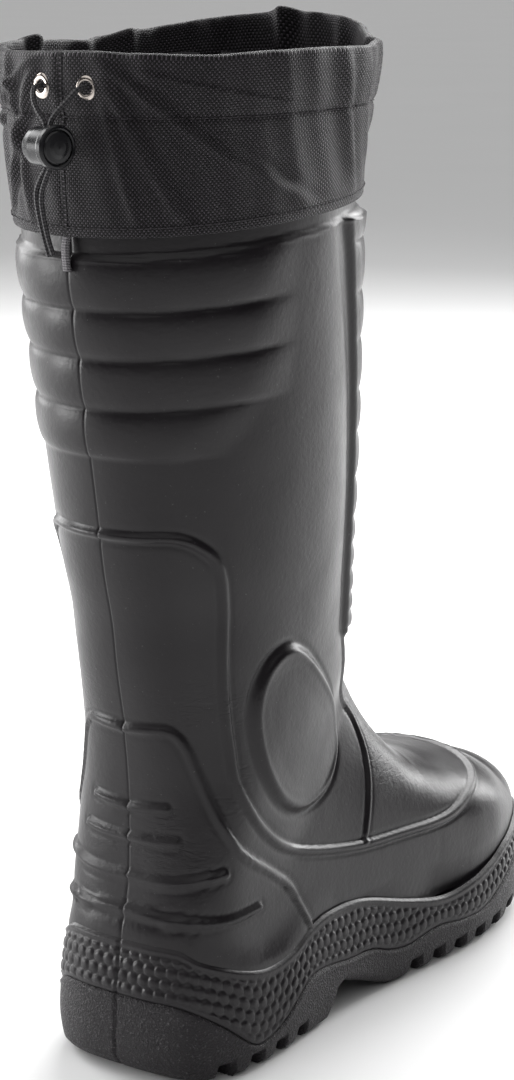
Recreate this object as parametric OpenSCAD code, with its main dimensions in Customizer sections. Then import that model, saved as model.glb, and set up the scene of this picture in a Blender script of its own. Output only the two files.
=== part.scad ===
// Knee-high insulated boot with a drawcord collar, standing on its sole.
// The toe points along -Y, the heel along +Y, the outer side of the foot is at -X.
// The origin lies on the ground, under the middle of the boot's length and width.

/* [Sole] */
// Length of the sole, heel to toe
sole_length = 319; // [300:1:335]
// Width of the sole at the ball of the foot
sole_width = 116; // [108:1:124]
// Depth of the tread grooves
groove_depth = 7; // [4:0.5:8]
// Spacing of the tread lugs
lug_pitch = 18; // [16:1:24]

/* [Shell] */
// Height of the top of the calf pads above the ground
pad_top = 376; // [374:1:378]
// How far the calf pads bulge
pad_bulge = 3; // [1:0.5:4]
// How far the shin strip stands out
strip_height = 4.5; // [2:0.5:6]
// Half width of the shin strip at its foot
strip_half = 38; // [30:1:42]
// How much the strip widens for each millimetre upwards, on each side
strip_spread = 0.12; // [0:0.01:0.12]
// Wall of the moulded shell
wall = 5; // [4:0.5:6]
// Thickness of the removable liner
liner_wall = 5.5; // [4:0.5:6]

/* [Collar] */
// Height of the collar's top edge
collar_top = 460; // [455:1:470]
// Height of the collar's hem at the heel side
collar_hem = 385; // [384:0.5:387]
// Height of the cord casing's stitch line
casing_bottom = 433; // [430:1:436]
// Thickness of the collar's fabric
fabric = 1.2; // [0.8:0.1:1.5]
// Clear width inside the cord casing
casing_gap = 3; // [2.8:0.1:3.4]

/* [Drawcord] */
// Diameter of the drawcord
cord_d = 2.2; // [1.8:0.1:2.4]
// Height of the two eyelets
eyelet_z = 446; // [445:0.5:447]
// Outer diameter of an eyelet
eyelet_d = 10.8; // [9:0.2:12]
// Hole through an eyelet
eyelet_hole = 5; // [4:0.2:5.4]

/* [Cord lock] */
// Outer diameter of the lock's front ring
lock_d = 18; // [17:0.5:19]
// Diameter of the push button
button_d = 13.8; // [13:0.2:14]
// Travel of the push button
button_travel = 2.6; // [1:0.2:2.8]

/* [Hidden] */
gap = 0.3;

// Ends and half width of the sole, measured from the origin
toe_tip = -sole_length * 0.5423;
half_ball = sole_width / 2;
heel_back = sole_length + toe_tip;
floor_z = 38;

// The sections are horizontal down to the instep, fan round the pivot, then stand upright.
pivot_y = -50;
pivot_z = 185;
rim_z = 394;
cap_y = -110;
upper_toe = toe_tip + 5;
cap_mid_z = 58;

// Back of the upper: height, distance behind the origin
BACK = [[38, 135], [60, 137.5], [78, 137], [94, 134.9], [112, 133.9], [134, 133.8], [156, 136],
        [170, 138.2], [193, 142.3], [214, 145.3], [236, 150], [262, 154], [289, 158],
        [323, 162], [355, 167], [376, 169.3], [394, 169.8]];
// The other profiles run along the sections: millimetres below the rim, degrees, millimetres
FRONT = [[-209, 49.5], [-191, 50], [-140, 49], [-60, 46.8], [-20, 43.5], [0, 41], [15, 36.5],
         [30, 37], [45, 42], [60, 50.5], [75, 61], [90, 74], [110, 83.5], [130, 89],
         [150, 94], [165, 98.5], [180, 104]];
HALF = [[-209, 65], [-191, 64.5], [-145, 62], [-100, 59.5], [-60, 56], [-28, 51.5], [0, 48],
        [20, 45], [35, 43], [50, 43.5], [62, 45], [75, 47], [90, 50], [110, 53],
        [130, 55.5], [150, 55], [180, 47]];
CENTRE = [[-209, 0], [0, 0], [45, -1], [75, -2.5], [100, -2], [135, 0], [165, 2.5], [215, 3]];
WIDEST = [[-209, 0.5], [-60, 0.5], [0, 0.54], [15, 0.62], [30, 0.74], [45, 0.72], [60, 0.68],
          [90, 0.66], [215, 0.68]];
BACK_POWER = [[-209, 2.15], [-40, 2.2], [0, 2.4], [15, 2.7], [30, 3.4], [45, 3.6], [90, 3.4],
              [215, 3.2]];
FRONT_POWER = [[-209, 2.1], [-60, 2.05], [0, 2.1], [70, 2.1], [90, 2.2], [215, 2.3]];

// Sole outline, anticlockwise from the back of the heel round the outer side to the toe
OUTLINE = [[0, heel_back], [-22, heel_back - 2], [-39, heel_back - 11], [-49, 113], [-51, 83],
           [-49, 45], [-49, 5], [-55, -45], [-half_ball, -83], [-52, -125],
           [-33, toe_tip + 14], [3, toe_tip], [38, toe_tip + 13], [55, -123],
           [half_ball, -80], [50, -33], [44, 15], [50, 55], [53, 87], [50, 115],
           [39, heel_back - 10], [22, heel_back - 1.5]];
// Height of the band's top edge and of the tread's top edge along the sole
BAND_TOP = [[-175, 55], [-135, 51], [-120, 48], [-107, 45], [-96, 42], [-74, 38], [-50, 36.5],
            [-24, 42], [14, 53.5], [41, 56], [59, 54], [77, 49], [95, 47.5], [112, 51],
            [129, 57.5], [136, 61], [141, 65], [147, 66]];
TREAD_TOP = [[-175, 40], [-145, 37], [-124, 33], [-102, 25], [-83, 19.2], [-63, 19.4], [-43, 22],
             [-20, 19], [-6, 21], [8, 25.8], [28, 27.5], [45, 30.5], [62, 31], [76, 24.5],
             [91, 16], [104, 13], [111, 15.6], [126, 28], [141, 38.5], [147, 40]];
// Underside along the sole: toe spring, arch, heel breast and heel bevel
UNDERSIDE = [[-180, 12], [-155, 7], [-130, 3], [-105, 0], [-11, 0], [10, 9], [31, 17], [39, 14],
             [45, 0], [123, 0], [135, 1.5], [150, 6]];

// Calf pads: their edges, as heights at the heel side, rise towards the front by pad_tilt
PAD_EDGES = [289, 311, 333, 354, pad_top];
pad_tilt = 0.055;
pad_back = 169.3;

// Collar: height, half depth, half width
COLLAR = [[385, 87, 67.2], [410, 87.8, 67.8], [433, 88.6, 70.8], [460, 88.6, 75.5]];
collar_y = 85;
collar_power = 2.15;
hem_tilt = 0.06;
fold_rise = 10;
fold_angle = 215;
casing_in = fabric + casing_gap;
lining = 0.8;
footbed_thick = 4;

// Tape over the rear seam
tape_w = 4.4;
tape_thick = 0.8;

eyelet_left_x = 10.3;
eyelet_right_x = -12.7;
flange = 1;

// Cord lock: centre, direction of its axis about Z, where the two cords cross it
lock_at = [-3, 186, 423];
lock_turn = 164.6;
cord_offsets = [-1.2, 1.4];
chamber_r = 5.8;
spring_r = 4;
spring_wire = 0.7;

// Free ends of the drawcord, from the eyelets down through the lock
TAIL_LEFT = [[10.3, 171.8, 446], [10.3, 175, 446.2], [9.6, 179, 445.2], [7, 182.6, 441],
             [3, 184.6, 436.5], [-1, 185.5, 432.5], [-1.8, 185.7, 428], [-1.8, 185.7, 418],
             [-1.2, 185.7, 414], [1.5, 185.6, 410], [4, 185.4, 405], [4.2, 185.2, 400],
             [3, 185, 393], [1, 184.6, 385], [-0.8, 184, 378]];
TAIL_RIGHT = [[-12.7, 171.4, 446], [-12.7, 175, 446.2], [-12.2, 178.6, 445.2], [-10, 182.4, 441],
              [-6.6, 185, 436.5], [-4.6, 186.2, 432.5], [-4.3, 186.4, 428], [-4.3, 186.4, 418],
              [-3.8, 186.4, 414], [-1.8, 186.4, 410], [0.4, 186.2, 405], [1, 186, 400],
              [0, 185.8, 393], [-1.8, 185.4, 385], [-3.6, 184.8, 379]];

// ---- curves ----

// Slope at knot i of a table, from its neighbours
function slope(t, i) =
    let (a = max(i - 1, 0), b = min(i + 1, len(t) - 1))
    (t[b][1] - t[a][1]) / (t[b][0] - t[a][0]);

// Index of the last knot of a table that lies at or before u
function knot(t, u, i = 0) = i >= len(t) - 2 || t[i + 1][0] > u ? i : knot(t, u, i + 1);

// Smooth curve through a table of knots, held at its ends
function curve(t, u) =
    let (v = min(max(u, t[0][0]), t[len(t) - 1][0]), i = knot(t, v),
         h = t[i + 1][0] - t[i][0], k = (v - t[i][0]) / h,
         p = t[i][1], q = t[i + 1][1], m = slope(t, i) * h, n = slope(t, i + 1) * h)
    p + k * (m + k * (3 * (q - p) - 2 * m - n + k * (m + n - 2 * (q - p))));

function blend(a, b, x) = let (k = min(max((x - a) / (b - a), 0), 1)) k * k * (3 - 2 * k);
function power(v, e) = v == 0 ? 0 : sign(v) * pow(abs(v), e);
function soft_min(a, b, r) =
    let (h = min(max(0.5 + 0.5 * (b - a) / r, 0), 1)) b * (1 - h) + a * h - r * h * (1 - h);

// ---- the upper ----

// Distance from the pivot to the back of the upper, along a ray s degrees below level
function ray_back(s, r = 190, n = 8) =
    n == 0 ? r
    : let (z = max(pivot_z - r * sin(s), floor_z))
      ray_back(s, min((curve(BACK, z) - pivot_y) / max(cos(s), 0.05), 700), n - 1);

// One section: [origin y, origin z, direction y, direction z, near, far, half width, centre x]
function section(s, inset) =
    let (level = s <= 0, upright = s >= 90, turn = level ? 0 : upright ? 90 : s,
         y = upright ? pivot_y - (s - 90) : pivot_y, z = level ? pivot_z - s : pivot_z,
         front = curve(FRONT, s),
         back = level ? curve(BACK, z) - pivot_y
              : upright ? pivot_z - floor_z
              : soft_min(ray_back(s), (pivot_z - floor_z) / sin(s), 16),
         k = min(max((cap_y - y) / (cap_y - upper_toe - inset), 0), 1),
         side = pow(max(1 - pow(k, 2.4), 0), 1 / 2.2),
         rise = pow(max(1 - pow(k, 2.6), 0), 1 / 2.2),
         top = pivot_z - front - inset - cap_mid_z,
         near = upright ? pivot_z - cap_mid_z - top * rise : front + inset,
         far = upright ? pivot_z - cap_mid_z + (cap_mid_z - floor_z - inset) * rise
             : back - inset)
    [y, z, cos(turn), -sin(turn), near, far, (curve(HALF, s) - inset) * side, curve(CENTRE, s)];

// Bulge of the calf pads, 0 to 1, at height z and distance y
function pad(y, z) =
    let (h = z - pad_tilt * (pad_back - y),
         i = [for (n = [0:3]) if (h >= PAD_EDGES[n] && h < PAD_EDGES[n + 1]) n])
    len(i) == 0 ? 0
    : let (k = (h - PAD_EDGES[i[0]]) / (PAD_EDGES[i[0] + 1] - PAD_EDGES[i[0]]))
      pow(4 * k * (1 - k), 0.4) * blend(55, 100, y);

// Height of the shin strip, 0 to 1: a plate that widens upwards and stops below the collar
function shin(x, y, z) =
    let (half = strip_half + strip_spread * (z - 190))
    (1 - blend(half - 1, half + 3, abs(x))) * (1 - blend(58, 70, y))
    * blend(165, 185, z) * (1 - blend(372, 382, z));

// Outward relief of the shell: calf pads at the back, shin strip at the front
function relief(x, y, z) =
    pad_bulge * pad(y, z)
    + strip_height * shin(x, y, z);

// Ring of points round one section
function ring(s, n, inset, raised) =
    let (c = section(s, inset), m = c[4] + (c[5] - c[4]) * curve(WIDEST, s),
         bp = curve(BACK_POWER, s), fp = curve(FRONT_POWER, s))
    [for (i = [0:n - 1])
        let (a = 360 * i / n, e = 2 / (cos(a) >= 0 ? bp : fp),
             w = m + (cos(a) >= 0 ? c[5] - m : m - c[4]) * power(cos(a), e),
             x = c[7] - c[6] * power(sin(a), e),
             y = c[0] + w * c[2], z = c[1] + w * c[3],
             out = raised ? relief(x, y, z) : 0,
             dx = (x - c[7]) / c[6], dw = (w - m) / (c[5] - c[4]) * 2,
             l = max(norm([dx, dw]), 0.01))
        [x + out * dx / l, y + out * dw / l * c[2], z + out * dw / l * c[3]]];

// Stations of the sections from a height down to the toe
function stations(top_z, shaft, fan, foot, inset) =
    let (cap = cap_y - upper_toe - inset,
         c = [for (i = [1:foot]) 90 + pivot_y - cap_y + cap * sin(88 * i / foot)])
    concat([for (i = [0:shaft]) (i - shaft) * (top_z - pivot_z) / shaft],
           [for (i = [1:fan]) 90 * i / fan],
           [for (i = [1:4]) 90 + (pivot_y - cap_y) * i / 4], c);

// Closed solid through a list of rings with equal counts
module loft(rings) {
    n = len(rings[0]);
    m = len(rings);
    sides = [for (j = [0:m - 2], i = [0:n - 1])
        let (a = j * n + i, b = j * n + (i + 1) % n)
        each [[a, b, b + n], [a, b + n, a + n]]];
    first = [for (i = [n - 1:-1:0]) i];
    last = [for (i = [0:n - 1]) (m - 1) * n + i];
    polyhedron(points = [for (r = rings) each r], faces = concat(sides, [first], [last]));
}

// Stations on the pads' edges and crests, so that the pads keep their shape
shaft_stations = [for (z = [394, 384, 377, 375, 373, 365, 357, 354, 351, 343, 336, 333, 330, 322,
                            314, 311, 308, 300, 292, 289, 286, 270, 250, 230, 210, 196])
                  pivot_z - z];

module skin(inset, n, raised) {
    s = raised ? concat(shaft_stations, [for (v = stations(196, 1, 14, 9, inset)) if (v > -1) v])
      : stations(rim_z + 30, 12, 12, 7, inset);
    loft([for (v = s) ring(v, n, inset, raised)]);
}

module shell() {
    color("#1b1b1d")
    difference() {
        skin(0, 60, true);
        skin(wall, 32, false);
    }
}

module liner() {
    color("#8d8f94")
    difference() {
        intersection() {
            skin(wall + 0.8, 32, false);
            translate([-150, -250, 0])
                cube([300, 500, 390]);
        }
        skin(wall + 0.8 + liner_wall, 28, false);
    }
}

module footbed() {
    color("#3a3c40")
    intersection() {
        skin(wall + 1.1 + liner_wall, 28, false);
        translate([-150, -250, 0])
            cube([300, 500, floor_z + wall + 1.1 + liner_wall + footbed_thick]);
    }
}

// ---- rings round the shaft, for the collar, its lining and its seams ----

function around(a, b, angle) =
    let (e = 2 / collar_power)
    [-b * power(sin(angle), e), collar_y + a * power(cos(angle), e)];

function collar_depth(z) = curve([for (c = COLLAR) [c[0], c[1]]], z);
function collar_width(z) = curve([for (c = COLLAR) [c[0], c[2]]], z);

// Height lifted towards the front by the tilt of the hem, which fades out at the casing,
// and by the fold that stands up at the inner side of the front
function lifted(z, y, angle) =
    z + hem_tilt * (collar_y + COLLAR[0][1] - y) * (1 - blend(collar_hem + 8, casing_bottom, z))
    + fold_rise * pow(max(cos(angle - fold_angle), 0), 2) * blend(casing_bottom, collar_top, z);

// Closed band round the collar whose section is a list of [inwards, height]
module band(profile, n = 56) {
    m = len(profile);
    points = [for (i = [0:n - 1], p = profile)
        let (q = around(collar_depth(p[1]) - p[0], collar_width(p[1]) - p[0], 360 * i / n))
        [q[0], q[1], lifted(p[1], q[1], 360 * i / n)]];
    faces = [for (i = [0:n - 1], j = [0:m - 1])
        let (a = i * m + j, b = i * m + (j + 1) % m,
             c = ((i + 1) % n) * m + j, d = ((i + 1) % n) * m + (j + 1) % m)
        each [[a, b, d], [a, d, c]]];
    polyhedron(points = points, faces = faces);
}

module collar() {
    t = collar_top;
    color("#232126")
    difference() {
        band([[0, collar_hem], [0, 400], [0, 416], [0, casing_bottom], [0, 448], [0, t - 2],
              [fabric, t], [casing_in, t], [casing_in + fabric, t - 2],
              [casing_in + fabric, casing_bottom], [casing_in, casing_bottom],
              [casing_in, t - 3.2], [fabric, t - 3.2], [fabric, casing_bottom],
              [fabric, 416], [fabric, 400], [fabric, collar_hem]]);
        for (x = [eyelet_left_x, eyelet_right_x])
            at_eyelet(x)
                rotate([90, 0, 0]) {
                    cylinder(h = 5, d = eyelet_hole + 1.8, center = true, $fn = 24);
                    translate([0, 0, fabric + 0.12])
                        cylinder(h = 1, d = eyelet_hole + 6, $fn = 24);
                }
    }
}

module collar_lining() {
    o = fabric + gap;
    color("#8b8d92")
    band([[o, 398], [o, 415], [o, casing_bottom - 1], [o + lining, casing_bottom - 1],
          [o + lining, 415], [o + lining, 398]]);
}

// A thread line: a narrow raised band in the face of the fabric
module thread_band(z, out) {
    band([[-out, z - 0.4], [-out, z + 0.4], [-0.05, z + 0.4], [-0.05, z - 0.4]]);
}

module casing_stitching() {
    color("#2c2a30")
    thread_band(casing_bottom + 1, 0.45);
}

module hem_stitching() {
    color("#2c2a30")
    thread_band(collar_hem + 4, 0.45);
}

// Tape over the rear seam, from the top edge down past the hem, ending in a loose tail
module seam_tape() {
    heights = [370, 376, 385, 397, 409, 421, 433, 446, 459];
    face = [for (z = heights)
        [collar_y + collar_depth(max(z, 385)) + (z < 385 ? 0.6 : 0.65), z]];
    color("#3a383e")
    translate([-tape_w / 2, 0, 0])
        rotate([90, 0, 90])
            linear_extrude(tape_w)
                polygon(concat(face, [for (i = [len(face) - 1:-1:0])
                    [face[i][0] + tape_thick, face[i][1]]]));
}

// ---- eyelets ----

// Places a child at an eyelet, its +Y pointing out of the fabric
module at_eyelet(x) {
    a = collar_depth(eyelet_z);
    b = collar_width(eyelet_z);
    y = a * pow(1 - pow(abs(x) / b, collar_power), 1 / collar_power);
    turn = atan2(-x / (b * b), y / (a * a));
    translate([x, collar_y + y, eyelet_z])
        rotate([0, 0, turn])
            children();
}

module eyelet() {
    r = eyelet_hole / 2;
    rotate([-90, 0, 0])
        rotate_extrude($fn = 48)
            polygon([[r, -fabric - 0.5], [r, flange - 0.2], [r + 0.5, flange + 0.1],
                     [eyelet_d / 2 - 0.6, flange - 0.1], [eyelet_d / 2, 0.35],
                     [eyelet_d / 2, 0.1], [r + 0.6, 0.1], [r + 0.6, -fabric - 0.5]]);
}

module eyelet_washer() {
    rotate([-90, 0, 0])
        rotate_extrude($fn = 48)
            translate([eyelet_hole / 2 + 0.65, -fabric - 0.5])
                square([2, 0.3]);
}

module eyelet_left() {
    color("#c9b9b0")
    at_eyelet(eyelet_left_x)
        eyelet();
}
module eyelet_right() {
    color("#c9b9b0")
    at_eyelet(eyelet_right_x)
        eyelet();
}
module eyelet_washer_left() {
    color("#b8aca4")
    at_eyelet(eyelet_left_x)
        eyelet_washer();
}
module eyelet_washer_right() {
    color("#b8aca4")
    at_eyelet(eyelet_right_x)
        eyelet_washer();
}

// ---- drawcord ----

function unit(v) = v / norm(v);

// Tube of eight sides swept along a route; the frame's side vector stays level
module tube(route, d) {
    n = len(route);
    rings = [for (i = [0:n - 1])
        let (t = unit(route[min(i + 1, n - 1)] - route[max(i - 1, 0)]),
             guide = abs(t[2]) > 0.9 ? [0, 1, 0] : [0, 0, 1],
             u = unit(cross(guide, t)), v = cross(t, u))
        [for (k = [0:7]) route[i] + d / 2 * (cos(45 * k) * u + sin(45 * k) * v)]];
    loft(rings);
}

// Smooth route through hand-placed points, each stretch cut in two
function middle(r, i) =
    let (a = r[max(i - 1, 0)], d = r[min(i + 2, len(r) - 1)])
    (9 * (r[i] + r[i + 1]) - a - d) / 16;
function finer(r) = concat([for (i = [0:len(r) - 2]) each [r[i], middle(r, i)]], [r[len(r) - 1]]);

// The cord runs in the casing from one eyelet round the front to the other
cord_in = fabric + casing_gap / 2 + 0.25;
module drawcord() {
    steps = 46;
    first = 12;
    last = 346;
    route = [for (i = [0:steps])
        let (q = around(collar_depth(eyelet_z) - cord_in, collar_width(eyelet_z) - cord_in,
                        first + (last - first) * i / steps))
        [q[0], q[1], lifted(eyelet_z, q[1], first + (last - first) * i / steps)]];
    color("#26262a")
    tube(route, cord_d);
}

module cord_tail_left() {
    color("#2a2a2e")
    tube(finer(TAIL_LEFT), cord_d);
}
module cord_tail_right() {
    color("#2a2a2e")
    tube(finer(TAIL_RIGHT), cord_d);
}

// ---- cord lock: its axis is local +X, the button at the +X end ----

module at_lock() {
    translate(lock_at)
        rotate([0, 0, lock_turn])
            children();
}

module along_x() {
    rotate([0, 90, 0])
        children();
}

// Straight slot through the lock for both cords
module cord_slot(from_x, to_x, width) {
    r = width / 2;
    for (x = [from_x + r, to_x - r])
        translate([x, 0, 0])
            cylinder(h = 30, r = r, center = true, $fn = 24);
    translate([from_x + r, -r, -15])
        cube([to_x - from_x - width, width, 30]);
}

module lock_barrel() {
    r = lock_d / 2;
    color("#141416")
    at_lock()
        difference() {
            along_x()
                rotate_extrude($fn = 64)
                    polygon([[0, -9], [5.6, -9], [7, -8.3], [7.8, -6.6], [8, -4], [8, 2.6],
                             [8.6, 3.2], [r, 4.2], [r, 6.4], [r - 0.5, 7.2],
                             [r - 1.2, 7.5], [button_d / 2 + 0.3, 7.1],
                             [button_d / 2 + 0.3, 2], [chamber_r, 2], [chamber_r, -7.6],
                             [0, -7.6]]);
            cord_slot(-2.6, 2.8, 2.9);
        }
}

module lock_plunger() {
    r = button_d / 2;
    color("#1a1a1c")
    at_lock()
        difference() {
            along_x()
                rotate_extrude($fn = 64)
                    polygon([[0, -4.2], [chamber_r - 0.3, -4.2], [chamber_r - 0.3, 4.9],
                             [r, 4.9], [r, 6.8], [r - 0.7, 7.4], [r - 2.2, 7.6],
                             [3, 8.2], [0, 8.5]]);
            cord_slot(-2.6, 2.8 + button_travel, 2.9);
        }
}

// Helical spring between the barrel's blind end and the plunger
module lock_spring() {
    turns = 3;
    per_turn = 14;
    route = [for (i = [0:turns * per_turn])
        [-7.15 + 2.5 * i / (turns * per_turn),
         spring_r * cos(360 * i / per_turn), spring_r * sin(360 * i / per_turn)]];
    color("#b9bcc0")
    at_lock()
        tube_across(route, spring_wire);
}

// Tube of six sides for a route that circles the X axis
module tube_across(route, d) {
    n = len(route);
    rings = [for (i = [0:n - 1])
        let (t = unit(route[min(i + 1, n - 1)] - route[max(i - 1, 0)]),
             u = unit(cross([1, 0, 0], t)), v = cross(t, u))
        [for (k = [0:5]) route[i] + d / 2 * (cos(60 * k) * u + sin(60 * k) * v)]];
    loft(rings);
}

// ---- liner trim ----

function liner_ring(z, inset) = ring(pivot_z - z, 32, inset, false);

module liner_binding() {
    outer = wall + 0.5;
    inner = wall + 1.1 + liner_wall;
    color("#5a5c60")
    difference() {
        loft([for (z = [393.5, 390.3]) liner_ring(z, outer + 0.3)]);
        loft([for (z = [394, 390]) liner_ring(z, inner - 0.3)]);
    }
}

// Webbing loop sewn inside the liner at the heel side
module liner_pull_loop() {
    w = 12;
    t = 1.2;
    lean = 4.5;
    y = curve(BACK, 352) - wall - 0.8 - liner_wall - 0.8;
    color("#2e3034")
    translate([-w / 2, y - t - 3, 352])
        rotate([-lean, 0, 0])
        difference() {
            cube([w, t + 3, 34]);
            translate([-1, t, 4])
                cube([w + 2, 3 - t, 26]);
        }
}

// ---- the sole ----

// Outline point and its outward normal, k from 0 to 1 within stretch i
function bend(a, b, c, d, k) =
    0.5 * (2 * b + k * (c - a) + k * k * (2 * a - 5 * b + 4 * c - d) + k * k * k * (3 * b - a - 3 * c + d));
function outline_points(per) =
    let (n = len(OUTLINE))
    [for (i = [0:n - 1], j = [0:per - 1])
        bend(OUTLINE[(i + n - 1) % n], OUTLINE[i], OUTLINE[(i + 1) % n], OUTLINE[(i + 2) % n],
             j / per)];
function grown(p, d) =
    let (n = len(p))
    [for (i = [0:n - 1])
        let (t = unit(p[(i + 1) % n] - p[(i + n - 1) % n]))
        p[i] + d * [-t[1], t[0]]];

// The sole's side: height and how far it stands outside the outline
SIDE = [[-1, -2.5], [4, -0.5], [16, 1.5], [26, 1.5], [38, 0.3], [52, -1.5], [70, -4.5]];

module sole_block() {
    p = outline_points(3);
    loft([for (s = SIDE) [for (q = grown(p, -s[1])) [q[0], q[1], s[0]]]]);
}

// Everything below a line along the sole, lifted by some amount
module under(line, lift) {
    ys = [for (i = [0:60]) toe_tip - 4 + (heel_back - toe_tip + 8) * i / 60];
    rotate([90, 0, 90])
        translate([0, 0, -100])
            linear_extrude(200)
                polygon(concat([[ys[0], -20]], [for (y = ys) [y, curve(line, y) + lift]],
                               [[ys[60], -20]]));
}

module midsole() {
    color("#1a1a1c")
    difference() {
        intersection() {
            sole_block();
            under(BAND_TOP, 0);
        }
        under(TREAD_TOP, 0.3);
        skin(-gap, 60, true);
    }
}

// Heights below which the tread is cut away, as straight stretches
module below_underside() {
    rotate([90, 0, 90])
        translate([0, 0, -100])
            linear_extrude(200)
                polygon(concat([[-200, -30]], [[-200, UNDERSIDE[0][1]]], UNDERSIDE,
                               [[200, 6], [200, -30]]));
}

// Grooves between the lugs, cut in from both sides and joined by a channel
module grooves() {
    heel = [for (y = [69:lug_pitch:129]) y];
    ball = [for (y = [-29:-lug_pitch:toe_tip + 12]) y];
    for (y = concat(heel, ball), side = [-1, 1]) {
        lift = groove_depth + max(curve(UNDERSIDE, y), 0);
        translate([side * 60 - 40, y - 3, -2])
            cube([80, 6, lift + 2]);
    }
    translate([-5, 59, -2])
        cube([10, 68, groove_depth + 2]);
    translate([-3, toe_tip + 26, -2])
        cube([10, 130, groove_depth + 2]);
}

module outsole() {
    color("#17171a")
    difference() {
        intersection() {
            sole_block();
            under(TREAD_TOP, 0);
        }
        below_underside();
        grooves();
    }
}

shell();
midsole();
outsole();
footbed();
liner();
liner_binding();
liner_pull_loop();
collar();
collar_lining();
casing_stitching();
hem_stitching();
seam_tape();
eyelet_left();
eyelet_right();
eyelet_washer_left();
eyelet_washer_right();
drawcord();
cord_tail_left();
cord_tail_right();
lock_barrel();
lock_plunger();
lock_spring();
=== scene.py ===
import math

import bpy
import numpy as np
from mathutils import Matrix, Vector
from mathutils.bvhtree import BVHTree


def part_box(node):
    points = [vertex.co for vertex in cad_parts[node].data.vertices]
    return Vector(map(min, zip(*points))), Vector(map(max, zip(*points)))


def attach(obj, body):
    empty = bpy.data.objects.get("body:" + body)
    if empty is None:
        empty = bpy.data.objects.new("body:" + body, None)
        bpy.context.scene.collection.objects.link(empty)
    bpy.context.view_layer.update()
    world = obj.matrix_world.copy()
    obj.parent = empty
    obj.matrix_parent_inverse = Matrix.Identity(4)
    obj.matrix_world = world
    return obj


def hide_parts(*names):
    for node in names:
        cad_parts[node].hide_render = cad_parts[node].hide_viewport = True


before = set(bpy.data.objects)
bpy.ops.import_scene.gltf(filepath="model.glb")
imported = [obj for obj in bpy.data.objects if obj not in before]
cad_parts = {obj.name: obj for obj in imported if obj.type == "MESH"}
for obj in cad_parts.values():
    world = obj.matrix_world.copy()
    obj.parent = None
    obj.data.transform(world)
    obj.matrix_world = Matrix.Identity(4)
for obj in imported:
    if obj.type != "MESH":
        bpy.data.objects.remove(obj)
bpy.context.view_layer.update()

# Insulated winter boot: the looks around the CAD frame.
# Tables are in millimetres and degrees; every mesh is built in millimetres and scaled by MM.
# The toe points along -Y, the outer side of the foot is at -X, the ground is at z = 0.
MM = 0.001

# ---- the frame's shape, as in the CAD ----

FLOOR_Z = 38
RIM_Z = 394
PIVOT_Y = -50
PIVOT_Z = 185
CAP_Y = -110
CAP_MID_Z = 58
SOLE_LENGTH = 319
TOE_TIP = -0.5423 * SOLE_LENGTH
HEEL_BACK = SOLE_LENGTH + TOE_TIP
UPPER_TOE = TOE_TIP + 5
WALL = 5
LINER_OUT = WALL + 0.8
LINER_IN = LINER_OUT + 5.5
LINER_TOP = 389.5
FOOTBED_Z = 53.6

BACK = [(38, 135), (60, 137.5), (78, 137), (94, 134.9), (112, 133.9), (134, 133.8), (156, 136),
        (170, 138.2), (193, 142.3), (214, 145.3), (236, 150), (262, 154), (289, 158),
        (323, 162), (355, 167), (376, 169.3), (394, 169.8)]
FRONT = [(-209, 49.5), (-191, 50), (-140, 49), (-60, 46.8), (-20, 43.5), (0, 41), (15, 36.5),
         (30, 37), (45, 42), (60, 50.5), (75, 61), (90, 74), (110, 83.5), (130, 89),
         (150, 94), (165, 98.5), (180, 104)]
HALF = [(-209, 65), (-191, 64.5), (-145, 62), (-100, 59.5), (-60, 56), (-28, 51.5), (0, 48),
        (20, 45), (35, 43), (50, 43.5), (62, 45), (75, 47), (90, 50), (110, 53),
        (130, 55.5), (150, 55), (180, 47)]
CENTRE = [(-209, 0), (0, 0), (45, -1), (75, -2.5), (100, -2), (135, 0), (165, 2.5), (215, 3)]
WIDEST = [(-209, 0.5), (-60, 0.5), (0, 0.54), (15, 0.62), (30, 0.74), (45, 0.72), (60, 0.68),
          (90, 0.66), (215, 0.68)]
BACK_POWER = [(-209, 2.15), (-40, 2.2), (0, 2.4), (15, 2.7), (30, 3.4), (45, 3.6), (90, 3.4),
              (215, 3.2)]
FRONT_POWER = [(-209, 2.1), (-60, 2.05), (0, 2.1), (70, 2.1), (90, 2.2), (215, 2.3)]

OUTLINE = [(0, HEEL_BACK), (-22, HEEL_BACK - 2), (-39, HEEL_BACK - 11), (-49, 113), (-51, 83),
           (-49, 45), (-49, 5), (-55, -45), (-58, -83), (-52, -125), (-33, TOE_TIP + 14),
           (3, TOE_TIP), (38, TOE_TIP + 13), (55, -123), (58, -80), (50, -33), (44, 15),
           (50, 55), (53, 87), (50, 115), (39, HEEL_BACK - 10), (22, HEEL_BACK - 1.5)]
SIDE = [(-1, -2.5), (4, -0.5), (16, 1.5), (26, 1.5), (38, 0.3), (52, -1.5), (70, -4.5)]
BAND_TOP = [(-175, 55), (-135, 51), (-120, 48), (-107, 45), (-96, 42), (-74, 38), (-50, 36.5),
            (-24, 42), (14, 53.5), (41, 56), (59, 54), (77, 49), (95, 47.5), (112, 51),
            (129, 57.5), (136, 61), (141, 65), (147, 66)]
TREAD_TOP = [(-175, 40), (-145, 37), (-124, 33), (-102, 25), (-83, 19.2), (-63, 19.4), (-43, 22),
             (-20, 19), (-6, 21), (8, 25.8), (28, 27.5), (45, 30.5), (62, 31), (76, 24.5),
             (91, 16), (104, 13), (111, 15.6), (126, 28), (141, 38.5), (147, 40)]
UNDERSIDE = [(-180, 12), (-155, 7), (-130, 3), (-105, 0), (-11, 0), (10, 9), (31, 17), (39, 14),
             (45, 0), (123, 0), (135, 1.5), (150, 6)]
# Grooves between the lugs: pitch, depth, and the first ones under the heel and the ball
LUG_PITCH = 18
GROOVE_DEPTH = 7
HEEL_GROOVE_Y = 69
BALL_GROOVE_Y = -29

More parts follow.
